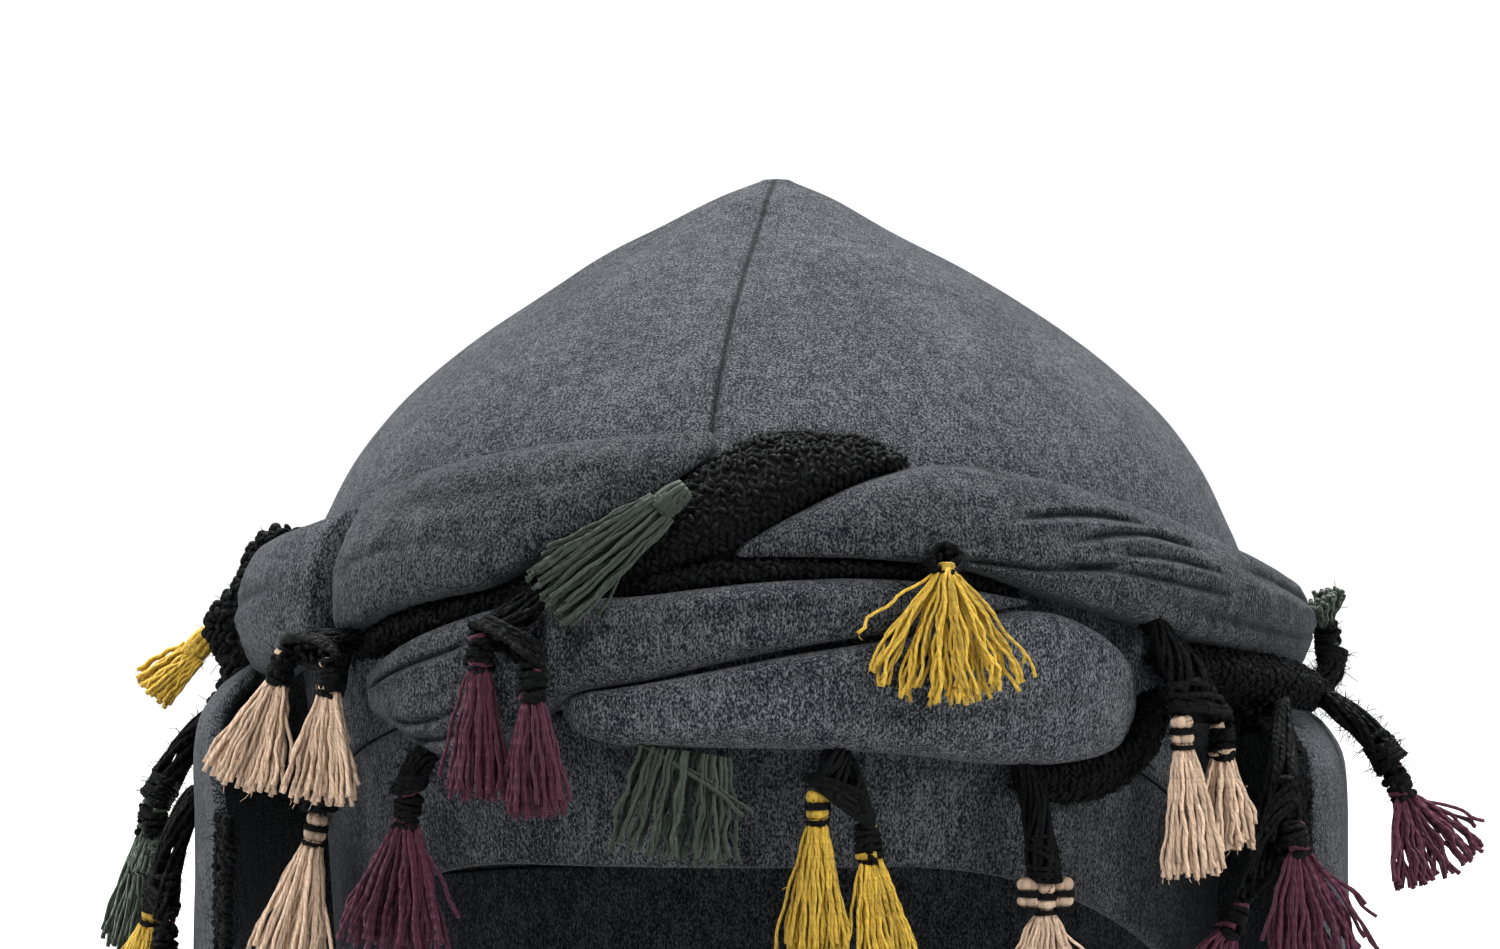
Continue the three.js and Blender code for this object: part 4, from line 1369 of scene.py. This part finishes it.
class CAP_OT_trims(Operator):
    """Crochet the black trim between the folds, the loose ruffle and the drape's border"""

    bl_idname = "cap.trims"
    bl_label = "Crochet trims"

    def execute(self, context):
        cap, colours = cap_and_colours(context)
        black = crochet_material(colours)
        for name, rows in TRIMS.items():
            place = trim_place(cap, rows)
            run = cap.run(rows[0].at, rows[-1].at)
            bm = bmesh.new()
            base_tube(bm, place, 24, max(int(run / (1.5 * MM)), 6), run)
            fine = 1 if name == "trim_right" else 2
            crochet_cover(bm, place, run, cap.stitch, 260, outer_side, seed=len(name), fine=fine)
            finish_piece(bm, f"{name}_crochet", [black], name)
        self.make_ruffle(cap, black)
        self.make_borders(cap, black)
        return {"FINISHED"}

    def make_ruffle(self, cap, black):
        """The ruffled strip that hangs loose at the left, with picots along its edge"""
        middle = [cap.on_hat(row.at, row.top * cap.wrap_height, row.out * cap.wrap_bulge) for row in RUFFLE]
        path = smooth_path(middle, 48)
        run = sum((b - a).length for a, b in zip(path, path[1:]))
        at = RUFFLE[1].at

        def place(section, share):
            spot = min(max(share, 0), 1) * (len(path) - 1)
            i = min(int(spot), len(path) - 2)
            point = path[i].lerp(path[i + 1], spot - i)
            turn = section * math.tau
            half = cap.ruffle * (0.7 + 0.3 * math.sin(share * math.pi * 5))
            point = point + outwards(at) * math.cos(turn) * half
            return point + sideways(at) * math.sin(turn) * cap.trim_cloth * 2 / 3

        bm = bmesh.new()
        base_tube(bm, place, 24, 48, run)
        crochet_cover(bm, place, run, cap.stitch * 1.3, 380, size=1.1, seed=5)
        dice = random.Random(9)
        axes = (outwards(at), sideways(at), Vector((0, 0, 1)))
        picots = 18
        for i in range(picots):
            edge = place(0, (i + 0.5) / picots)
            for k in range(3):
                centre = edge + axes[0] * cap.stitch * (0.1 + 0.5 * (k == 1))
                centre += axes[2] * cap.stitch * (k - 1) * 0.7
                size = [cap.stitch * dice.uniform(0.6, 0.95) for _ in range(3)]
                knot(bm, centre, axes, size, shade=dice.random())
        finish_piece(bm, "trim_left_ruffle_crochet", [black], "trim_left_ruffle")

    def make_borders(self, cap, black):
        """The crochet down the drape's two ends and along its hem"""
        edge = math.degrees(cap.border / (cap.half_width + cap.drape_flare))
        parting = math.degrees(cap.gap / cap.half_width)
        right, left = DRAPE_EDGE
        half = cap.trim_cloth / 2
        strips = {
            "trim_drape_right": (right - edge, right + parting),
            "trim_drape_left": (left - parting, left + edge),
        }
        for name, (start, end) in strips.items():
            drop = (along(DRAPE_TOP, "at", "top", start) * cap.wrap_height + cap.drape_drop) + cap.border

            def place(section, share, start=start, end=end):
                turn = section * math.tau
                at = mix(start, end, 0.5 + 0.46 * math.sin(turn))
                down = mix(0.01, 0.99, min(max(share, 0), 1))
                return cap.on_drape(at, down, down * cap.border, half + math.cos(turn) * half * 0.7)

            bm = bmesh.new()
            base_tube(bm, place, 20, 40, drop)
            crochet_cover(bm, place, drop, cap.stitch * 1.15, 300, seed=len(name) + 3, fine=1)
            finish_piece(bm, f"{name}_crochet", [black], name)

        def hem_place(section, share):
            turn = section * math.tau
            at = mix(right, left, min(max(share, 0), 1))
            below = mix(-2 * cap.gap, cap.border, 0.5 + 0.48 * math.sin(turn))
            return cap.on_drape(at, 1, below, half + math.cos(turn) * half * 0.7)

        run = cap.run(right, left, cap.drape_flare)
        bm = bmesh.new()
        base_tube(bm, hem_place, 16, 260, run)
        crochet_cover(bm, hem_place, run, cap.stitch * 2.0, 400, size=1.08, seed=21, fine=1)
        finish_piece(bm, "trim_hem_crochet", [black], "trim_hem")


CORD = 0.43 * MM  # the radius of one yarn of a stem
CORD_STEPS = 11
CORD_SIDES = 5
CORE_CORDS = 6
STEM_FIBRES = 160


class CAP_OT_stems(Operator):
    """Twist the black stems down to their knots above the tassels"""

    bl_idname = "cap.stems"
    bl_label = "Crochet stems"

    cords: IntProperty(name="Cords", description="Yarns round a stem", default=18)

    def execute(self, context):
        cap, colours = cap_and_colours(context)
        black = crochet_material(colours)
        heads = {tassel.name: cap.tassel_place(tassel) for tassel in TASSELS}
        for stem in STEMS:
            self.make_stem(cap, black, stem, [heads[name] for name in stem.carries])
        return {"FINISHED"}

    def make_stem(self, cap, black, stem, heads):
        """Yarns that wind down from its root, and widen into the knot over its tassels' heads"""
        first, last = heads[0], heads[-1]
        root = cap.on_hat(stem.at, stem.top * cap.wrap_height, stem.out * cap.wrap_bulge)
        foot = (first + last) / 2 + Vector((0, 0, cap.gap))
        bend = root.lerp(foot, 0.45) + outwards(stem.at) * cap.strand
        steps = 24
        path = smooth_path([root, bend, foot], steps)
        root_side = sideways(stem.at)
        foot_side = (last - first).normalized() if len(heads) > 1 else root_side
        foot_half = (last - first).length / 2 + cap.knot

        def place(out, up, share):
            spot = min(max(share, 0), 1) * steps
            i = min(int(spot), steps - 1)
            tangent = (path[i + 1] - path[i]).normalized()
            side = root_side.lerp(foot_side, share).normalized()
            depth = tangent.cross(side).normalized()
            half = mix(cap.strand, foot_half, max(share, 0) ** 1.5)
            thick = mix(cap.strand, cap.knot, share)
            return path[i].lerp(path[i + 1], spot - i) + side * out * half + depth * up * thick

        def rim(turn, level):
            return place(math.cos(turn) * 0.92, math.sin(turn) * 0.92, level)

        dice = random.Random(stem.name)
        bm = bmesh.new()
        for ring, count in ((0.84, self.cords), (0.45, CORE_CORDS)):
            for i in range(count):
                base = (i + dice.uniform(-0.4, 0.4)) / count * math.tau
                spiral = dice.uniform(2.0, 3.6)
                wander = dice.uniform(0.08, 0.22)
                phase = dice.uniform(0, math.tau)
                centres = []
                for n in range(CORD_STEPS + 1):
                    share = n / CORD_STEPS
                    turn = base + spiral * share + wander * math.sin(9 * share + phase)
                    reach = ring * (1 + wander * math.sin(7 * share + 2 * phase))
                    centres.append(place(math.cos(turn) * reach, math.sin(turn) * reach, share))
                swell = dice.uniform(0.85, 1.25)
                widths = [CORD * swell * (1 + 0.25 * n / CORD_STEPS) for n in range(CORD_STEPS + 1)]
                tube(bm, centres, widths, CORD_SIDES, shade=dice.random())
        for i in range(9):
            level = mix(0.7, 0.98, i / 8)
            tilt, turns = dice.uniform(-0.07, 0.07), dice.uniform(0.7, 1.1)
            yarn = CORD * dice.uniform(0.9, 1.4)
            shade, phase = dice.random(), dice.uniform(0, math.tau)
            loop_round(bm, rim, level, tilt, turns, yarn, shade=shade, phase=phase)
        for _ in range(round(foot_half / (0.5 * MM))):
            turn, level = dice.uniform(0, math.tau), dice.uniform(0.72, 0.98)
            slanted_knot(bm, rim(turn, level), dice, cap.knot, 0.16, 0.3)
        spots = []
        for _ in range(STEM_FIBRES):
            turn, level = dice.uniform(0, math.tau), dice.uniform(0.05, 0.98)
            spots.append((rim(turn, level), (rim(turn, level) - place(0, 0, level)).normalized()))
        fuzz(bm, spots, 2.4 * MM, dice)
        finish_piece(bm, f"{stem.name}_crochet", [black], stem.name)


class CAP_OT_tassels(Operator):
    """Bind each tassel's head and cut its skirt of plied yarn"""

    bl_idname = "cap.tassels"
    bl_label = "Tassels"

    def execute(self, context):
        cap, colours = cap_and_colours(context)
        black = crochet_material(colours)
        for tassel in TASSELS:
            yarn = yarn_material(tassel.yarn, getattr(colours, tassel.yarn))
            self.make_tassel(cap, tassel, cap.tassel_place(tassel), tassel.at * FRONT_TURN, [yarn, black])
        for row in HEM_TASSELS:
            yarn = yarn_material(row.yarn, getattr(colours, row.yarn))
            tassel = Tassel(
                row.name, row.yarn, "banded", row.at, top=0, out=0, swing=0, lean=0, length=1, splay=0.9
            )
            place = cap.on_drape(row.at, 1, cap.border + 2 * cap.gap, cap.trim_cloth / 2)
            self.make_tassel(cap, tassel, place, row.at, [yarn, black])
        return {"FINISHED"}

    def make_tassel(self, cap, tassel, place, facing, materials):
        dice = random.Random(tassel.name)
        turn = Euler((-math.radians(tassel.lean), -math.radians(tassel.swing), math.radians(facing)))
        bm = bmesh.new()
        bm.verts.layers.float.new(SHADE)
        self.make_skirt(cap, bm, tassel, dice)
        if tassel.head != "curtain":
            self.make_head(cap, bm, tassel, dice)
        bmesh.ops.transform(bm, matrix=Matrix.Translation(place) @ turn.to_matrix().to_4x4(), verts=bm.verts)
        finish_piece(bm, f"{tassel.name}_yarn", materials, tassel.name)

    def make_skirt(self, cap, bm, tassel, dice):
        """Strands of nearly one length that fan out from the head in loose clumps, with a few strays"""
        spread = cap.skirt_radius * tassel.splay
        drop = cap.skirt_length * tassel.length
        neck = {"curtain": 0.68 * spread, "own": 1.1 * cap.head_radius, "loop": 0.35 * cap.head_radius}
        neck = neck.get(tassel.head, 0.5 * cap.head_radius)
        start = cap.head_length * {"curtain": 0, "loop": 0.25}.get(tassel.head, 0.8)
        strand_length = cap.head_length + drop - start
        curl = 0.3 * MM * (0.5 + tassel.splay)
        strays = 1 if tassel.head == "loop" else 3
        ends = []
        strands = round(cap.strands * (1.6 if tassel.head == "loop" else 1.2))
        for i in range(strands):
            across = (i + 0.5) / strands * 2 - 1 + dice.uniform(-0.07, 0.07)
            if tassel.head == "loop":
                across *= 0.45 + 0.5 * abs(across)
            clump = 0.05 * math.sin(across * 19 + drop / MM)
            depth = dice.uniform(-1, 1)
            inside = math.sqrt(max(0, 1 - (across * 0.85) ** 2))
            root = Vector((across * neck, depth * inside * cap.head_radius * 0.45, -start))
            foot_x = (across + clump) * spread * dice.uniform(0.94, 1.03)
            strand = strand_length * dice.uniform(0.86, 1.0)
            if i < strays:
                foot_x = math.copysign(spread * dice.uniform(0.95, 1.2), dice.uniform(-1, 1))
                strand = strand_length * dice.uniform(0.75, 1.02)
            aside = foot_x - root.x
            foot_y = -cap.skirt_radius * 0.24 + depth * inside * cap.skirt_radius * 0.36
            fall = math.sqrt(max(strand**2 - aside**2, (0.55 * strand) ** 2))
            foot = Vector((foot_x, foot_y, -start - fall))
            waves = dice.uniform(1.2, 2.2) * (0.7 + tassel.splay)
            phase = dice.uniform(0, math.tau)
            steps = 12
            crimp = dice.uniform(0.1, 0.22) * MM
            centres = []
            for n in range(steps + 1):
                t = n / steps
                flare = mix(t, math.sin(t * math.pi / 2), 0.4)
                sway = curl * math.sin(phase + t * waves * 3) * t + crimp * math.sin(phase * 3 + t * 19)
                dip = 0.8 * curl * math.cos(phase * 1.7 + t * waves * 2.6) * t
                dip += crimp * math.cos(phase * 2 + t * 17)
                x, y = mix(root.x, foot.x, flare) + sway, mix(root.y, foot.y, flare) + dip
                centres.append(Vector((x, y, mix(root.z, foot.z, t))))
            widths = [cap.yarn * (1 + 0.25 * smooth_step(n / steps, 0.85, 1)) for n in range(steps + 1)]
            tube(bm, centres, widths, 4, 0, dice.random())
            ends += [(centres[-1], Vector((0, 0, -1))), (centres[steps // 2], Vector((0, -1, 0)))]
        fuzz(bm, dice.sample(ends, 24), 1.3 * MM, dice)

    def make_head(self, cap, bm, tassel, dice):
        """A core with its binding: yarn beads and black bands, black knots, or turns of its own yarn"""
        long, wide = cap.head_length, cap.head_radius
        own, black = 0, 1
        beads = 2 if tassel.head in ("banded", "wide") else 0

        def round_head(turn, level):
            swell = math.sin(math.pi * min(max(0.12 + level * 0.66, 0), 1))
            reach = wide * 0.74 * math.sqrt(max(0.15, swell))
            return Vector((math.cos(turn) * reach, math.sin(turn) * reach, -level * long))

        def small_loop(turn, level):
            return round_head(turn, level) * 0.62

        if tassel.head == "loop":
            for k in range(4):
                tilt = dice.uniform(-0.05, 0.05)
                shade, phase = dice.random(), dice.uniform(0, 6)
                loop_round(bm, small_loop, 0.25 + 0.07 * k, tilt, 1.05, 0.4 * MM, own, shade, phase)
            return
        axes = (Vector((1, 0, 0)), Vector((0, 1, 0)), Vector((0, 0, 1)))
        core = (wide * 0.6, wide * 0.6, long * 0.5)
        outside = own if tassel.head == "own" else black
        knot(bm, Vector((0, 0, -long * 0.5)), axes, core, outside, 0.3)
        columns = (-1, 0, 1) if tassel.head == "wide" else (0,)
        for column in columns:
            shift = Vector((column * wide * 1.05, 0, abs(column) * 0.6 * MM))

            def round_column(turn, level, shift=shift):
                return round_head(turn, level) + shift

            for row in range(beads):
                level = mix(0.2, 0.62, row)
                for i in range(6):
                    turn = (i + 0.5 * row) / 6 * math.tau
                    size = (wide * 0.42, wide * 0.4, long * 0.19)
                    x, y = math.cos(turn) * wide * 0.34, math.sin(turn) * wide * 0.34
                    centre = Vector((x, y, -level * long)) + shift
                    knot(bm, centre, axes, size, own, dice.random())
                for k in range(3):
                    tilt = dice.uniform(-0.03, 0.03)
                    shade, phase = dice.random(), dice.uniform(0, math.tau)
                    down = level + 0.22 + 0.035 * k
                    loop_round(bm, round_column, down, tilt, 1.05, 0.28 * MM, black, shade, phase)
        if tassel.head == "own":
            for i in range(10):
                turn = i / 10 * math.tau
                centres = [round_head(turn, n / 8) * 0.96 for n in range(9)]
                tube(bm, centres, [0.6 * MM] * 9, YARN_SIDES, own, dice.random())
            for k in range(5):
                tilt = dice.uniform(-0.03, 0.03)
                shade, phase = dice.random(), dice.uniform(0, math.tau)
                loop_round(bm, round_head, 0.52 + 0.08 * k, tilt, 1.05, 0.42 * MM, own, shade, phase)
        if tassel.head == "knotted":
            for k in range(11):
                yarn = own if k in (1, 8) else black
                tilt = dice.uniform(-0.12, 0.12)
                turns = 0.5 if yarn == own else dice.uniform(0.5, 1.1)
                radius = 0.5 * MM * dice.uniform(0.85, 1.3)
                shade, phase = dice.random(), dice.uniform(0, math.tau)
                loop_round(bm, round_head, mix(0.02, 0.98, k / 10), tilt, turns, radius, yarn, shade, phase)
            for _ in range(9):
                turn, level = dice.uniform(0, math.tau), dice.uniform(0.05, 0.95)
                slanted_knot(bm, round_head(turn, level) * 1.08, dice, wide, 0.2, 0.34, black)
        spots = []
        for _ in range(40):
            turn, level = dice.uniform(0, math.tau), dice.uniform(0, 1)
            spots.append((round_head(turn, level), outwards(math.degrees(turn) + 90)))
        fuzz(bm, spots, 1.6 * MM, dice, outside)


# The studio

FLOOR_RADIUS = 14.0
WALL_HEIGHT = 12.0
FLOOR_CORNER = 3.0
FLOOR_BELOW = 6 * MM  # under the lowest tassel
FLOOR_FACES = 96
FLOOR_GRAIN = 0.985  # how dark its grain is
SENSOR = 36  # the camera's width of film, in millimetres
AIR = (0.95, 0.97, 1, 1)
AIR_STRENGTH = 0.13
LAMP_AIM = Vector((0, 0, 0.03))

# The softboxes: where each stands, its side in metres and its power in watts
LAMPS = table(
    Lamp,
    ("key", (-0.6, -1.7, 1.9), 0.8, 43),
    ("top", (0.0, 0.9, 2.1), 1.2, 118),
    ("left", (-1.9, 0.1, 0.9), 1.0, 26),
    ("right", (1.9, -0.7, 0.8), 1.0, 31),
)


class CAP_OT_studio(Operator):
    """Lay the pale floor that rises into a wall, and set the soft lights and the camera"""

    bl_idname = "cap.studio"
    bl_label = "Studio"

    distance: length("Camera distance", "From the cap's axis", 1.3)
    height: length("Camera height", "Above the brow rim", 0.068)
    aside: length("Camera aside", "To the camera's left", 0.005)
    yaw: FloatProperty(name="Yaw", description="Turn about the cap", default=math.radians(8), subtype="ANGLE")
    lens: FloatProperty(name="Lens", description="Focal length in millimetres", default=167.7)

    def execute(self, context):
        self.make_floor(context)
        self.make_lights(context)
        self.make_camera(context)
        return {"FINISHED"}

    def make_floor(self, context):
        colours = context.scene.cap_colours
        level = cad_box[0][2] - FLOOR_BELOW
        bm = bmesh.new()
        corner = FLOOR_CORNER
        flat = FLOOR_RADIUS - corner
        profile = [(0.0, 0.0), (flat, 0.0)]
        for i in range(1, 17):
            turn = i / 16 * math.pi / 2
            profile.append((flat + math.sin(turn) * corner, corner - math.cos(turn) * corner))
        profile.append((FLOOR_RADIUS, WALL_HEIGHT))
        verts = [bm.verts.new((x, 0, z + level)) for x, z in profile]
        edges = [bm.edges.new(pair) for pair in zip(verts, verts[1:])]
        bmesh.ops.spin(
            bm,
            geom=verts + edges,
            cent=(0, 0, 0),
            axis=(0, 0, 1),
            angle=math.tau,
            steps=FLOOR_FACES,
            use_merge=True,
        )
        bmesh.ops.remove_doubles(bm, verts=bm.verts, dist=MERGE)
        for face in bm.faces:
            face.smooth = True
            if face.normal.z < 0 or face.normal.dot(face.calc_center_median() * Vector((1, 1, 0))) > 0.1:
                face.normal_flip()
        mesh = bpy.data.meshes.new("studio_floor")
        bm.to_mesh(mesh)
        bm.free()
        floor = bpy.data.objects.new("studio_floor", mesh)
        context.scene.collection.objects.link(floor)
        material, shader, w = new_material("Pale studio paper", 0.9, 0.0, (1, 1, 1, 1), 0.1)
        grain = w.fade(w.noise(w.place(), 300.0, 2.0), 0.3, 0.7)
        grey = (*(c * FLOOR_GRAIN for c in colours.floor[:3]), 1)
        w.put(shader, "Base Color", w.blend(grain, grey, colours.floor))
        shader.inputs["Emission Color"].default_value = (1, 1, 1, 1)
        w.put(shader, "Emission Strength", w.node("ShaderNodeLightPath").outputs["Is Camera Ray"])
        mesh.materials.append(material)

    def make_lights(self, context):
        for lamp in LAMPS:
            light = bpy.data.lights.new(f"{lamp.name}_softbox", "AREA")
            light.size = lamp.size
            light.energy = lamp.power
            softbox = bpy.data.objects.new(f"{lamp.name}_softbox", light)
            softbox.location = lamp.spot
            softbox.rotation_euler = (LAMP_AIM - Vector(lamp.spot)).to_track_quat("-Z", "Y").to_euler()
            context.scene.collection.objects.link(softbox)
        world = bpy.data.worlds.new("Studio air")
        world.use_nodes = True
        sky = world.node_tree.nodes["Background"]
        sky.inputs["Color"].default_value = AIR
        sky.inputs["Strength"].default_value = AIR_STRENGTH
        context.scene.world = world
        context.scene.view_settings.view_transform = "Standard"

    def make_camera(self, context):
        ahead = Vector((-math.sin(self.yaw), math.cos(self.yaw), 0))
        right = Vector((math.cos(self.yaw), math.sin(self.yaw), 0))
        data = bpy.data.cameras.new("photo_camera")
        data.lens = self.lens
        data.sensor_width = SENSOR
        data.sensor_fit = "HORIZONTAL"
        camera = bpy.data.objects.new("photo_camera", data)
        camera.location = -ahead * self.distance - right * self.aside + Vector((0, 0, self.height))
        camera.rotation_euler = (math.pi / 2, 0, self.yaw)
        context.scene.collection.objects.link(camera)
        context.scene.camera = camera


STEPS = (
    CAP_OT_studio,
    CAP_OT_crown,
    CAP_OT_brow_band,
    CAP_OT_folds,
    CAP_OT_neck_drape,
    CAP_OT_trims,
    CAP_OT_stems,
    CAP_OT_tassels,
)


class CAP_PT_sidebar(Panel):
    """The cap's sizes, colours and pieces"""

    bl_label = "Tasseled turban cap"
    bl_idname = "CAP_PT_sidebar"
    bl_space_type = "VIEW_3D"
    bl_region_type = "UI"
    bl_category = "Cap"

    def draw(self, context):
        for group in (context.scene.cap_sizes, context.scene.cap_colours):
            box = self.layout.box()
            for name in group.bl_rna.properties.keys():
                if name not in ("rna_type", "name"):
                    box.prop(group, name)
        for step in STEPS:
            self.layout.operator(step.bl_idname)


CLASSES = (CapSizes, CapColours, *STEPS, CAP_PT_sidebar)


def register():
    for item in CLASSES:
        bpy.utils.register_class(item)
    bpy.types.Scene.cap_sizes = PointerProperty(type=CapSizes)
    bpy.types.Scene.cap_colours = PointerProperty(type=CapColours)


def unregister():
    del bpy.types.Scene.cap_colours
    del bpy.types.Scene.cap_sizes
    for item in reversed(CLASSES):
        bpy.utils.unregister_class(item)


def main():
    register()
    for step in STEPS:
        family, name = step.bl_idname.split(".")
        getattr(getattr(bpy.ops, family), name)()
    Stamp.clear()


if __name__ == "__main__":
    main()
